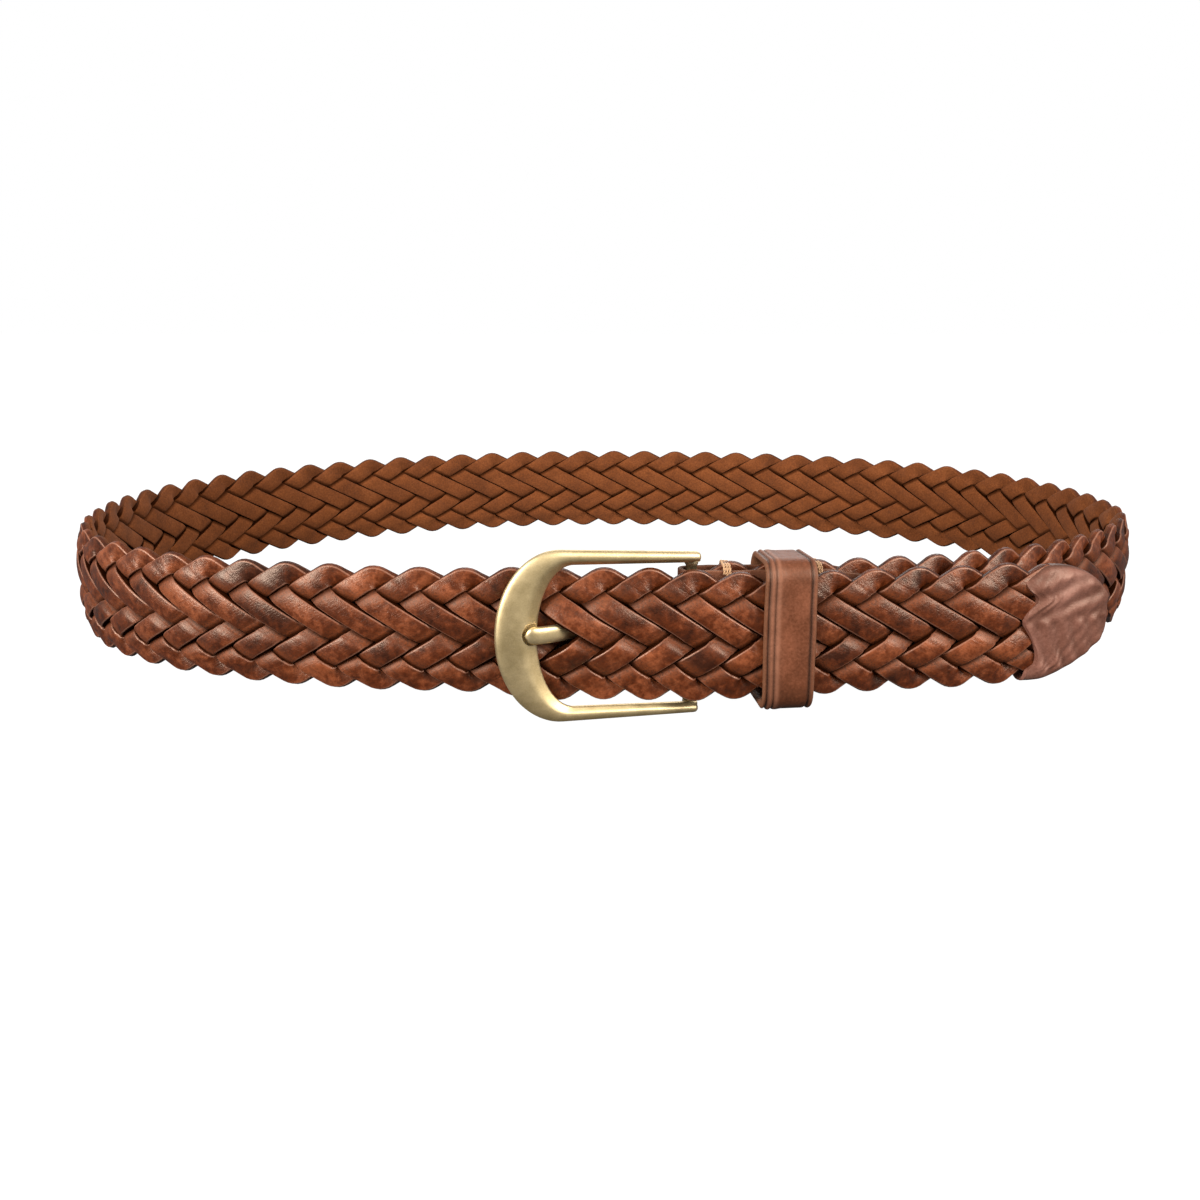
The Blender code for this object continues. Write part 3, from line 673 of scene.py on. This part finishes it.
# ---- buckle, in its own frame: x to the right of the heel bar, y into the loop, z up ----
TILT, SKEW, SKEW_ABOUT = math.radians(12.0), 0.038, -0.0270
FRAME_SET, FRAME_REACH, BOW_WIDTH = 0.0030, 0.0551, 0.0113
BOW_OUTER, BOW_INNER = (0.0178, 0.0238), (0.0102, 0.0197)
BOW_DEPTH, ARM_DEPTH = 0.0044, 0.0034
ARM_END_OUTER, ARM_END_INNER, ARM_OVERRUN = 0.0229, 0.0199, 0.0002
BAR_RADIUS, COLLAR_RADIUS, LUG_RADIUS = 0.0015, 0.0019, 0.0018
UPPER_LUG_LOWER, LUG_SHORT, BAR_PAST_ARM = 0.0006, 0.0002, 0.0006
BOW_STEPS, ARM_STEPS, FRAME_POINTS, PRONG_POINTS = 26, 14, 36, 24
FRAME_SQUARE, INNER_BEVEL, OUTER_CROWN, NECK = 0.74, 0.46, 0.10, 0.10
SMOOTH_BELOW = 38.0
# The arm's end is rounded off by sections this far past it, with this part of its size.
ARM_ROUNDING = ((0.0005, 0.96), (0.0009, 0.84), (0.0012, 0.62), (0.0013, 0.30))
PRONG_WIDTH, PRONG_DEPTH, PRONG_REACH, EYE_RADIUS = 0.0048, 0.0025, 0.0473, 0.0031
PRONG_DIP, PRONG_DIP_AT = -0.0009, 0.020
PRONG_REST, PRONG_RISE_FROM, PRONG_RISE_LENGTH = 0.0051, 0.0270, 0.0185
NOTCH_WIDTH, NOTCH_REACH, NOTCH_FLOOR = 0.0059, 0.0481, 0.0034


def buckle_place(points):
    """World points from points in the buckle's own frame, turned and skewed as it hangs."""
    out = out_at(np.array(0.0))
    turn = TILT + math.atan2(out[0], -out[1])
    c, s = math.cos(turn), math.sin(turn)
    x, y, z = np.moveaxis(np.asarray(points, float), -1, 0)
    z = z - SKEW * (x - SKEW_ABOUT)
    return np.stack([BAR.x + c * x - s * y, BAR.y + s * x + c * y, BAR.z + z], axis=-1)


def frame_sections():
    """(inner point, outer point, depth) from the bow's middle to the end of the upper arm, as (x, z)."""
    sections = []
    inner_reach = FRAME_REACH - BOW_WIDTH
    for step in range(BOW_STEPS + 1):
        angle = math.pi / 2 * step / BOW_STEPS
        c, s = math.cos(angle), math.sin(angle)
        outer = (-(FRAME_REACH - BOW_OUTER[0] * (1 - c)), BOW_OUTER[1] * s)
        inner = (-(inner_reach - BOW_INNER[0] * (1 - c)), BOW_INNER[1] * s)
        sections.append((inner, outer, BOW_DEPTH + (ARM_DEPTH - BOW_DEPTH) * float(smooth(s))))
    (inner_start, _), (outer_start, _), _ = sections[-1]
    for part in np.linspace(0.06, 1.0, ARM_STEPS):
        outer_x = outer_start * (1 - part) + ARM_OVERRUN * part
        inner_x = inner_start * (1 - part) + ARM_OVERRUN * part
        outer_z = BOW_OUTER[1] * (1 - part) + ARM_END_OUTER * part
        inner_z = BOW_INNER[1] * (1 - part) + ARM_END_INNER * part
        sections.append(((inner_x, inner_z), (outer_x, outer_z), ARM_DEPTH))
    (inner_x, inner_z), (outer_x, outer_z), depth = sections[-1]
    middle, half = (inner_z + outer_z) / 2, (outer_z - inner_z) / 2
    for ahead, keep in ARM_ROUNDING:
        inner, outer = (inner_x + ahead, middle - half * keep), (outer_x + ahead, middle + half * keep)
        sections.append((inner, outer, depth * keep))
    return sections


def frame_rows():
    """Sections of the frame between the arms' ends: a crowned face with an inner bevel."""
    upper = frame_sections()
    lower = [((ix, -iz), (ox, -oz), depth) for (ix, iz), (ox, oz), depth in reversed(upper[1:])]
    angle = 2 * math.pi * (np.arange(FRAME_POINTS) + 0.5) / FRAME_POINTS
    across, deep = squarer(np.cos(angle), FRAME_SQUARE), squarer(np.sin(angle), FRAME_SQUARE)
    rows = []
    for inner, outer, depth in lower + upper:
        inner, outer = np.array([inner[0], 0.0, inner[1]]), np.array([outer[0], 0.0, outer[1]])
        bevel = np.where(deep < 0, 1 - INNER_BEVEL * smooth(-across, 0.15, 0.85), 1.0)
        crown = np.where(deep < 0, 1 - OUTER_CROWN * smooth(across, 0.2, 0.8), 1.0)
        row = (inner + outer) / 2 + np.outer(across, (outer - inner) / 2)
        row[:, 1] = deep * depth / 2 * bevel * crown - FRAME_SET
        rows.append(row)
    return np.array(rows)


def notch_cutter():
    """The slot in the bow that the prong's tip lies in."""
    half = NOTCH_WIDTH / 2
    mouth = -(FRAME_REACH - BOW_WIDTH - 2 * half)
    outline = [(mouth, -half)]
    for angle in np.linspace(-math.pi / 2, math.pi / 2, 25):
        outline.append((-(NOTCH_REACH - half + half * math.cos(angle)), half * math.sin(angle)))
    outline.append((mouth, half))
    deeps = (-FRAME_SET - 2 * BOW_DEPTH, -NOTCH_FLOOR)
    return buckle_place(np.array([[(x, y, z + PRONG_LIFT) for x, z in outline] for y in deeps]))


def lug(side):
    """The lug behind an arm's end that holds the heel bar, rounded at both ends."""
    angle = np.linspace(0, math.pi, 15)
    back = LUG_RADIUS * np.stack([np.cos(angle), np.sin(angle)], axis=1)
    outline = np.concatenate([back, -back - (0.0, FRAME_SET - ARM_DEPTH / 4)])
    lower = UPPER_LUG_LOWER if side > 0 else 0.0
    middle = (ARM_END_INNER + ARM_END_OUTER) / 2 - lower
    half = (ARM_END_OUTER - ARM_END_INNER) / 2 - LUG_SHORT - lower
    centre = np.array([0.0, -FRAME_SET / 2])
    rows = []
    for part, keep in ((-1, 0.90), (-0.86, 1.0), (0.86, 1.0), (1, 0.90)):
        section = centre + (outline - centre) * keep
        rows.append([(x, y, side * middle + half * part) for x, y in section])
    return buckle_place(np.array(rows))


def helper(name, points):
    """An object that only lends its shape to the frame."""
    mesh = bpy.data.meshes.new(name)
    mesh.from_pydata(points.reshape(-1, 3).tolist(), [], loft_faces(points))
    mesh.update()
    return new_object(name, mesh)


def buckle_frame(brass):
    """The horseshoe frame: notched for the prong, with a lug behind each arm's end."""
    blank = helper("buckle_blank", buckle_place(frame_rows()))
    cutter = helper("notch_cutter", notch_cutter())
    lugs = [helper("lug", lug(side)) for side in (1, -1)]
    blank.modifiers.new("prong notch", "BOOLEAN").object = cutter
    for each in lugs:
        union = blank.modifiers.new("lug", "BOOLEAN")
        union.operation = "UNION"
        union.object = each
    bpy.context.view_layer.update()
    mesh = bpy.data.meshes.new_from_object(blank.evaluated_get(bpy.context.evaluated_depsgraph_get()))
    for each in (blank, cutter, *lugs):
        bpy.data.objects.remove(each)
    mesh.name = "buckle"
    mesh.polygons.foreach_set("use_smooth", [True] * len(mesh.polygons))
    mesh.materials.clear()
    mesh.materials.append(brass)
    piece = new_object("buckle", mesh)
    sharpen(piece, SMOOTH_BELOW)
    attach(piece, "buckle")
    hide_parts("buckle_frame")


def lathe_rows(profile, count=28):
    """Rings about the z axis from (radius, z) pairs."""
    angle = 2 * math.pi * np.arange(count) / count
    radius, z = np.array(profile).T
    x, y = np.outer(radius, np.cos(angle)), np.outer(radius, np.sin(angle))
    return np.stack([x, y, np.outer(z, np.ones(count))], axis=-1)


def heel_bar(brass):
    """The bar between the arms, with a small collar at each end and a few slight swells along it."""
    end = ARM_END_INNER + BAR_PAST_ARM
    profile = [(BAR_RADIUS, -end), (BAR_RADIUS, -end + 0.0001)]
    profile += [(COLLAR_RADIUS, -end + 0.0007), (COLLAR_RADIUS, -end + 0.0015), (BAR_RADIUS, -end + 0.0021)]
    for k in range(1, 7):
        profile.append((BAR_RADIUS * (1 + 0.03 * math.cos(6 * k)), -end + 0.0021 + k * 0.00245))
    profile += [(radius, -z) for radius, z in reversed(profile)]
    piece = loft("heel_bar_fine", buckle_place(lathe_rows(profile)), brass, "buckle")
    sharpen(piece, SMOOTH_BELOW)
    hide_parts("heel_bar")


def prong_path():
    """(x, y) points of the prong: a curl round the heel bar, then the shank to its tip on the bow."""
    points = []
    for angle in np.radians(np.linspace(-50, -270, 29)):
        points.append((-EYE_RADIUS * math.cos(angle), -EYE_RADIUS * math.sin(angle)))
    for reach in PRONG_REACH * np.linspace(0.0, 1.0, 61)[1:]:
        level = EYE_RADIUS + (PRONG_DIP - EYE_RADIUS) * smooth(reach, 0.0, PRONG_DIP_AT)
        level += (PRONG_REST - PRONG_DIP) * smooth(reach, PRONG_RISE_FROM, PRONG_RISE_LENGTH)
        points.append((-reach, -level))
    return np.array(points)


def prong(brass):
    """The prong: a flattened bar with a faceted front, curled round the heel bar and rounded at its tip."""
    path = prong_path()
    ahead = unit(np.gradient(path, axis=0))
    down_prong = travelled(path)
    left = (down_prong[-1] - down_prong) / (PRONG_WIDTH / 2)
    shrink = np.sqrt(np.clip(1 - (1 - np.clip(left, 0, 1)) ** 2, 0.03, 1))
    neck = 1 - NECK * smooth(down_prong, 0.012, 0.006) * (1 - smooth(down_prong, 0.040, 0.012))
    angle = 2 * math.pi * (np.arange(PRONG_POINTS) + 0.5) / PRONG_POINTS
    high, deep = squarer(np.cos(angle), 0.62), squarer(np.sin(angle), 0.80)
    high = high * np.where(deep > 0, 1 - 0.28 * smooth(deep), 1.0)
    thick = deep * PRONG_DEPTH / 2 * shrink[:, None] ** 0.6
    rows = np.zeros((len(path), len(angle), 3))
    rows[:, :, 0] = path[:, :1] + ahead[:, 1:] * thick
    rows[:, :, 1] = path[:, 1:] - ahead[:, :1] * thick
    rows[:, :, 2] = PRONG_LIFT + high * (PRONG_WIDTH / 2 * shrink * neck)[:, None]
    piece = loft("prong_fine", buckle_place(rows), brass, "prong")
    sharpen(piece, 50.0)
    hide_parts("prong")


# ---- keeper, chape, tip tab and threads ----
KEEPER_HALF_Z, KEEPER_CORNER, KEEPER_DROOP = 0.0189, 0.0032, 0.0012
KEEPER_FRONT, KEEPER_BACK, KEEPER_WALL = 0.0036, -0.0136, 0.0021
KEEPER_OUTER, KEEPER_INNER, KEEPER_ROUNDING, GROOVE_DEPTH, BEAD = 61, 13, 0.0009, 0.0009, 0.00024
# (place across the keeper, width, depth) of the pressed lines.
KEEPER_GROOVES = ((-0.0059, 0.00036, 0.55), (-0.0042, 0.00030, 0.36), (0.0054, 0.00040, 0.55))
CHAPE_WALL, CHAPE_HALF_Z, CHAPE_LENGTH, CHAPE_BEND = 0.0013, 0.0157, 0.0560, 0.0033
CHAPE_SLOT, CHAPE_SLOT_END = 0.0036, 0.0052
TAB_WALL, TAB_HALF_Z, TAB_OFFSET = 0.0013, 0.0172, 0.0030
TAB_UPPER_LESS, TAB_CORNER, TAB_CORNER_FROM, TAB_CORNER_LENGTH = 0.0012, 0.22, 0.0195, 0.0085
TAB_SCOOP_UP, TAB_SCOOP_LOW, TAB_SUNK, TAB_RIM_LEVEL, TAB_ROUNDING = 0.0036, 0.0044, 0.0004, 0.0006, 0.0040
TAB_RIDGES, TAB_WRINKLES = 0.00058, 0.00026
THREAD_RADIUS, THREAD_STATIONS = 0.00036, (0.0096, 0.0352)
THREAD_DEEP, THREAD_TALL, THREAD_CORNER = 0.0046, 0.0170, 0.0022
THREAD_TURNS, THREAD_PITCH, THREAD_STEPS, PLY_TWIST = 3, 0.00076, 2000, 0.0019
TUBE_SIDES, CHAPE_STEPS, CHAPE_BEND_STEPS = 8, 24, 16
# A direction that no thread runs along, to measure the turn about a thread from.
SKEW_WAY = np.array([0.31, 0.52, 0.79])


def slab(name, front, back, material, slot, body, values):
    """A closed leaf of leather from two grids of points, one for each face, joined round their border."""
    index, quads = numbered(front), sheet_quads(front).reshape(-1, 4)
    border = np.concatenate([index[0], index[1:, -1], index[-1, -2::-1], index[-2:0:-1, 0]])
    following = np.roll(border, -1)
    walls = np.stack([following, border, border + index.size, following + index.size], axis=-1)
    faces = quads.tolist() + (quads[:, ::-1] + index.size).tolist() + walls.tolist()
    piece = new_piece(name, np.stack([front, back]), faces, material, body, values)
    sharpen(piece, 45.0)
    return piece


def ring(name, points, material, body, values):
    """A piece closed both ways, like a band."""
    index = numbered(points)
    below, right = np.roll(index, -1, axis=0), np.roll(index, -1, axis=1)
    quads = np.stack([index, below, np.roll(below, -1, axis=1), right], axis=-1).reshape(-1, 4)
    return new_piece(name, points, quads.tolist(), material, body, values)


def ring_profile(front, back, half_z, corner, per_corner=9, per_side=10):
    """(offset, height) points of a rounded rectangle round the strap, and the outward direction at each."""
    centre, half_deep = (front + back) / 2, (front - back) / 2
    points, normals = [], []
    for turn, (deep_sign, tall_sign) in enumerate(((1, 1), (-1, 1), (-1, -1), (1, -1))):
        middle = (centre + deep_sign * (half_deep - corner), tall_sign * (half_z - corner))
        for step in range(per_corner):
            angle = math.pi / 2 * (turn + step / (per_corner - 1))
            normals.append((math.cos(angle), math.sin(angle)))
            points.append((middle[0] + corner * math.cos(angle), middle[1] + corner * math.sin(angle)))
        flat = 2 * (half_z if turn % 2 else half_deep) - 2 * corner
        (normal_x, normal_z), (start_x, start_z) = normals[-1], points[-1]
        for step in range(1, per_side):
            reach = flat * step / per_side
            normals.append((normal_x, normal_z))
            points.append((start_x - normal_z * reach, start_z + normal_x * reach))
    return np.array(points), np.array(normals)


def keeper(leather):
    """The keeper: a band round both layers, beaded along its left edge and creased along its right edge."""
    points, normals = ring_profile(KEEPER_FRONT, KEEPER_BACK, KEEPER_HALF_Z, KEEPER_CORNER)
    half, middle = (KEEPER_RIGHT - KEEPER_LEFT) / 2, (KEEPER_RIGHT + KEEPER_LEFT) / 2
    across = half * np.concatenate([np.linspace(-1, 1, KEEPER_OUTER), np.linspace(1, -1, KEEPER_INNER)])
    outer = np.arange(KEEPER_OUTER + KEEPER_INNER) < KEEPER_OUTER
    edge = np.clip((half - np.abs(across)) / KEEPER_ROUNDING, 0, 1)
    grooves = sum(deep * hump(across, at, width) for at, width, deep in KEEPER_GROOVES)
    ridge = hump(across, -0.0050, 0.0006) + 0.6 * hump(across, 0.0066, 0.0007)
    bead = BEAD * ridge + 0.00022 * hump(across, -0.0030, 0.0011)
    # The stripe beside the left groove and the ridges are lightened: wear together with a painted highlight.
    wear_and_highlight = np.where(outer, 0.55 * hump(across, -0.0034, 0.0006) + 0.45 * ridge, 0.0)
    rounding = np.sqrt(1 - (1 - edge) ** 2)
    face = KEEPER_WALL * (0.55 + 0.45 * rounding) - grooves * GROOVE_DEPTH + bead
    deep = np.where(outer, face, 0.35 * KEEPER_WALL * (1 - rounding))
    spin = np.arctan2(points[:, 1], points[:, 0] + 0.005)
    wave = 0.00026 * sines(spin * 3.1, 4.0)
    bulge = 0.00030 * np.cos(math.pi * np.clip(points[:, 1] / KEEPER_HALF_Z, -1, 1) / 2)
    out = deep[None, :] + wave[:, None] + bulge[:, None]
    widened = across[None, :] * (1 + 0.012 * np.cos(2 * spin))[:, None]
    along = middle + widened + 0.00016 * sines(spin * 1.6, 9.0)[:, None]
    offset = points[:, :1] + normals[:, :1] * out
    height = points[:, 1:] + normals[:, 1:] * out - KEEPER_DROOP
    values = {
        # Painted shade in the pressed grooves; the inner face is a little darker all over.
        "crease": np.where(outer, np.clip(grooves * 2.4, 0, 1), 0.3),
        "edge": np.where(outer, np.clip(1.15 - 1.3 * edge, 0, 1), 1.0),
        "wear_and_highlight": np.clip(wear_and_highlight, 0, 1),
    }
    rows = place(along, offset, height)
    piece = ring("keeper_band", rows, leather, "keeper", values)
    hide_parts("keeper")


def chape(leather, raw_edge):
    """The buckle end: two leaves joined by a bend round the heel bar, slotted for the prong."""
    reach = np.linspace(CHAPE_LENGTH, CHAPE_SLOT_END, CHAPE_STEPS + 1)
    path = [(along, UNDER_OFFSET + CHAPE_BEND) for along in reach]
    for angle in np.linspace(math.pi / 2, 3 * math.pi / 2, CHAPE_BEND_STEPS + 1):
        path.append((CHAPE_BEND * math.cos(angle), UNDER_OFFSET + CHAPE_BEND * math.sin(angle)))
    path += [(along, UNDER_OFFSET - CHAPE_BEND) for along in reversed(reach)]
    along, offset = np.array(path).T
    half = CHAPE_HALF_Z - 0.0030 * smooth(along, 0.034, 0.022) + 0.00015 * sines(along * 260, 2.0)
    slot_part = CHAPE_SLOT / CHAPE_HALF_Z
    parts = np.array([-1, -0.97, -0.8, -0.6, -0.4, -slot_part, slot_part, 0.4, 0.6, 0.8, 0.97, 1])
    flare = 0.00025 * sines(along[:, None] * 190 + 3 * parts[None, :], 5.0)
    sag = flare * np.sign(offset - UNDER_OFFSET)[:, None] * smooth(along, 0.006, 0.01)[:, None]
    points = place(along[:, None], offset[:, None] + sag, half[:, None] * parts[None, :])
    quads = sheet_quads(points)
    keep = np.ones(quads.shape[:2], bool)
    keep[CHAPE_STEPS : len(points) - 1 - CHAPE_STEPS, list(parts).index(-slot_part)] = False
    piece = new_piece("chape_leaf", points, quads[keep].tolist(), leather, "strap")
    piece.data.materials.append(raw_edge)
    leaf = piece.modifiers.new("leaf", "SOLIDIFY")
    leaf.thickness = CHAPE_WALL
    leaf.offset = 0.0
    leaf.material_offset_rim = 1
    rounding = piece.modifiers.new("rounding", "BEVEL")
    rounding.width = 0.00022
    rounding.segments = 2
    rounding.limit_method = "ANGLE"
    rounding.angle_limit = math.radians(50)
    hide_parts("chape")


def tab_outline(behind, upper):
    """Half height of the tab at a distance behind the strap's end: rounder above than below."""
    power = 2.2 if upper else 1.75
    reach = TAB_HALF_Z * (1.10 if upper else 1.30)
    part = np.clip(behind / reach, 0.0, 1.0)
    tall = (TAB_HALF_Z - TAB_UPPER_LESS) if upper else TAB_HALF_Z
    corner = 1 - TAB_CORNER * smooth(behind, TAB_CORNER_FROM, TAB_CORNER_LENGTH) if upper else 1.0
    return tall * (1 - (1 - part) ** power) ** (1 / power) * corner


def tab_leaf(side, leather):
    """One leaf of the tip tab, moulded over the braid's ends and pressed together along its round edge."""
    part = 1 - (1 - np.linspace(0, 1, 60)) ** 1.5
    behind = 0.0002 + TAB_LENGTH * part[:, None]
    q = np.sin(np.linspace(-math.pi / 2, math.pi / 2, 65))[None, :]
    height = q * np.where(q > 0, tab_outline(behind, True), tab_outline(behind, False))
    scoop_up = TAB_SCOOP_UP * hump(height, 0.0068, 0.0024)
    scoop_low = TAB_SCOOP_LOW * smooth(-height, -0.0020, 0.012)
    scoop_low = scoop_low * (1 - 0.55 * smooth(-height, 0.0118, 0.0025))
    left = smooth(part[:, None], 0.45, 0.55)
    ragged = 0.00022 * sines(height * 420, 3.0 + side)
    behind_now = behind - (0.0010 + scoop_up + scoop_low + ragged) * left
    along = LOOP + TIP_END - behind_now
    border = np.minimum((1 - np.abs(q)) * TAB_HALF_Z * 0.9, behind * 1.1)
    rounding = np.sqrt(1 - (1 - np.clip(border / TAB_ROUNDING, 0, 1)) ** 2)
    upper = smooth(height, -0.001, 0.003)
    ripple_up = 2 * math.pi * (height * 0.92 + behind_now * 0.34) / 0.0052 + 0.8 * sines(behind * 300, 2.0)
    ripple_low = 2 * math.pi * (behind_now * 0.93 - height * 0.36) / 0.0046 + 0.8 * sines(height * 260, 6.0)
    ridges = np.sin(ripple_up) * upper + np.sin(ripple_low) * (1 - upper)
    patch = 0.55 + 0.45 * sines(behind * 210 + height * 170, 8.0 + side) * sines(height * 330, 1.0)
    wrinkles = sines(behind * 600 + height * 480, 5.0 + side)
    relief = TAB_RIDGES * ridges * patch + TAB_WRINKLES * wrinkles
    relief = relief * np.clip(border / 0.003, 0, 1)
    sunk = TAB_SUNK * smooth(part[:, None], 0.90, 0.10)
    level = TAB_RIM_LEVEL + (TAB_OFFSET + TAB_WALL / 2 - TAB_RIM_LEVEL) * rounding + relief - sunk
    inner = np.maximum(level - TAB_WALL, 0.00002)
    middle = layer_offset(along)
    faces = [place(along, middle + side * d, height - droop(along)) for d in (level, inner)]
    rim = np.clip(1.2 - border / 0.0007, 0, 1)
    # Painted shade in the troughs between the ridges; darker along the border as well.
    crease = np.clip(-ridges * patch * 0.45, 0, 1) + 0.8 * rim
    name = "tab_front"
    if side < 0:
        name = "tab_back"
        faces, crease = [face[:, ::-1] for face in faces], crease[:, ::-1]
    piece = slab(name, *faces, leather, "tab_leather", "tip", {"crease": crease})
    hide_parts(f"tip_{name}")


def square_ways(path):
    """Two directions at each point of a path, square to it and to each other."""
    ahead = unit(np.gradient(path, axis=0))
    first = unit(np.cross(ahead, SKEW_WAY))
    return first, np.cross(ahead, first)


def tube_along(path, radius):
    """Rings of points round a path, for a round cord."""
    first, second = square_ways(path)
    angle = 2 * math.pi * np.arange(TUBE_SIDES)[None, :, None] / TUBE_SIDES
    rings = np.cos(angle) * first[:, None, :] + np.sin(angle) * second[:, None, :]
    return path[:, None, :] + rings * radius


def binding_thread(side, station, thread):
    """Three turns of two-ply thread round the chape, as one piece for each ply."""
    front, back = UNDER_OFFSET + THREAD_DEEP, UNDER_OFFSET - THREAD_DEEP
    outline, _ = ring_profile(front, back, THREAD_TALL, THREAD_CORNER, per_side=40)
    stations = np.concatenate([np.tile(outline, (THREAD_TURNS, 1)), outline[:1]])
    lap = np.linspace(0, THREAD_TURNS * len(outline), THREAD_STEPS)
    offset, height = (np.interp(lap, np.arange(len(stations)), stations[:, k]) for k in (0, 1))
    along = station + THREAD_PITCH * (lap / len(outline) - THREAD_TURNS / 2)
    along = along + 0.00008 * sines(lap * 0.11, station * 900)
    centre = place(along, offset, height + 0.0001 * sines(lap * 0.07, 5.0))
    first, second = square_ways(centre)
    for ply in (0, 1):
        twist = (2 * math.pi * travelled(centre) / PLY_TWIST + math.pi * ply)[:, None]
        aside = (first * np.cos(twist) + second * np.sin(twist)) * THREAD_RADIUS * 0.5
        rows = tube_along(centre + aside, THREAD_RADIUS * 0.66)
        piece = loft(f"thread_{side}_ply_{ply + 1}", rows, thread, "strap")
        if ply == 0:
            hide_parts(f"binding_thread_{side}")


# ---- floor, lights and camera ----
# (name, location, target, size, power) of the lights.
LIGHTS = (
    ("left key", (-0.80, -0.70, 0.50), (-0.05, -0.05, 0.02), (0.45, 0.60), 20.5),
    ("right key", (0.75, -0.65, 0.55), (0.05, -0.05, 0.02), (0.45, 0.60), 15.5),
    ("back fill", (0.15, 1.00, 0.55), (0.0, 0.0, 0.02), (0.9, 0.6), 4.5),
    ("overhead", (0.0, 0.0, 1.10), (0.0, 0.0, 0.0), (0.8, 0.6), 1.1),
)
# Brightness of the room: as fill light, in reflections and behind the belt.
ROOM, WHITE = (0.31, 0.39, 1.0), rgb(1.0, 1.0, 1.0)
FLOOR_SIZE, FLOOR_GREY, FLOOR_GLOW = 8.0, rgb(0.10, 0.10, 0.10), 0.98
CAMERA_AT, CAMERA_PITCH, SENSOR, LENS = (-0.0023, -0.4175, 0.1102), 14.5, 36.0, 34.29


def soft_light(name, location, target, size, power):
    lamp = bpy.data.lights.new(name, "AREA")
    lamp.shape = "RECTANGLE"
    lamp.size, lamp.size_y = size
    lamp.energy = power
    light = new_object(name, lamp)
    light.location = location
    light.rotation_euler = (Vector(target) - Vector(location)).to_track_quat("-Z", "Y").to_euler()
    light.visible_camera = False


def studio_world():
    """White behind the belt, a soft grey fill, and a brighter room for reflections."""
    s = Shader(bpy.data.worlds.new("studio"))
    rays = s.node("LightPath")
    shades = [s.node("Background", Color=WHITE, Strength=strength) for strength in ROOM]
    fill, reflected, seen = (shade.outputs[0] for shade in shades)
    room = s.join("MixShader", rays.outputs["Is Glossy Ray"], fill, reflected)
    room = s.join("MixShader", rays.outputs["Is Camera Ray"], room, seen)
    s.set(s.tree.nodes["World Output"], "Surface", room)
    bpy.context.scene.world = s.owner


def floor():
    """A white floor that shows only a faint shadow."""
    s = new_material("floor")
    s.tree.nodes.remove(s.tree.nodes["Principled BSDF"])
    matt = s.node("BsdfDiffuse", Color=FLOOR_GREY).outputs[0]
    shown = s.share(s.node("LightPath").outputs["Is Camera Ray"], FLOOR_GLOW)
    glow = s.node("Emission", Strength=shown).outputs[0]
    s.set(s.tree.nodes["Material Output"], "Surface", s.join("AddShader", matt, glow))
    bpy.ops.mesh.primitive_plane_add(size=FLOOR_SIZE)
    ground = bpy.context.object
    ground.name = "floor"
    ground.data.materials.append(s.owner)


def stage():
    studio_world()
    floor()
    bpy.context.scene.view_settings.view_transform = "Standard"
    for light in LIGHTS:
        soft_light(*light)


def camera():
    lens = bpy.data.cameras.new("camera")
    lens.sensor_width = SENSOR
    lens.lens = LENS
    eye = new_object("camera", lens)
    eye.location = CAMERA_AT
    eye.rotation_euler = (math.radians(90 - CAMERA_PITCH), 0.0, 0.0)
    bpy.context.scene.camera = eye


def metal_parts():
    buckle_frame(antique_brass("frame brass", rgb(0.50, 0.365, 0.165), rgb(0.72, 0.55, 0.29), 0.36))
    heel_bar(antique_brass("bar brass", rgb(0.22, 0.16, 0.08), rgb(0.42, 0.33, 0.18), 0.38))
    prong(antique_brass("prong brass", rgb(0.62, 0.45, 0.20), rgb(0.86, 0.66, 0.36), 0.32))


def leather_parts():
    """The keeper, chape and tip tab, each leather given by its dark, middle and light colours."""
    dark, middle, light = rgb(0.045, 0.011, 0.003), rgb(0.098, 0.026, 0.009), rgb(0.200, 0.062, 0.028)
    keeper(grain_leather("keeper leather", dark, middle, light))
    dark, middle, light = rgb(0.05, 0.018, 0.009), rgb(0.11, 0.040, 0.018), rgb(0.20, 0.08, 0.04)
    raw_edge = grain_leather("raw edge", dark, middle, light, 0.6)
    dark, middle, light = rgb(0.08, 0.026, 0.012), rgb(0.13, 0.043, 0.020), rgb(0.20, 0.075, 0.04)
    chape(grain_leather("chape leather", dark, middle, light), raw_edge)
    dark, middle, light = rgb(0.085, 0.029, 0.017), rgb(0.155, 0.060, 0.039), rgb(0.25, 0.110, 0.078)
    tab = grain_leather("tab leather", dark, middle, light, 0.34)
    for side in (1, -1):
        tab_leaf(side, tab)


def main():
    braid(lace_leather())
    metal_parts()
    leather_parts()
    thread = thread_material()
    for side, station in zip(("left", "right"), THREAD_STATIONS):
        binding_thread(side, station, thread)
    stage()
    camera()


main()
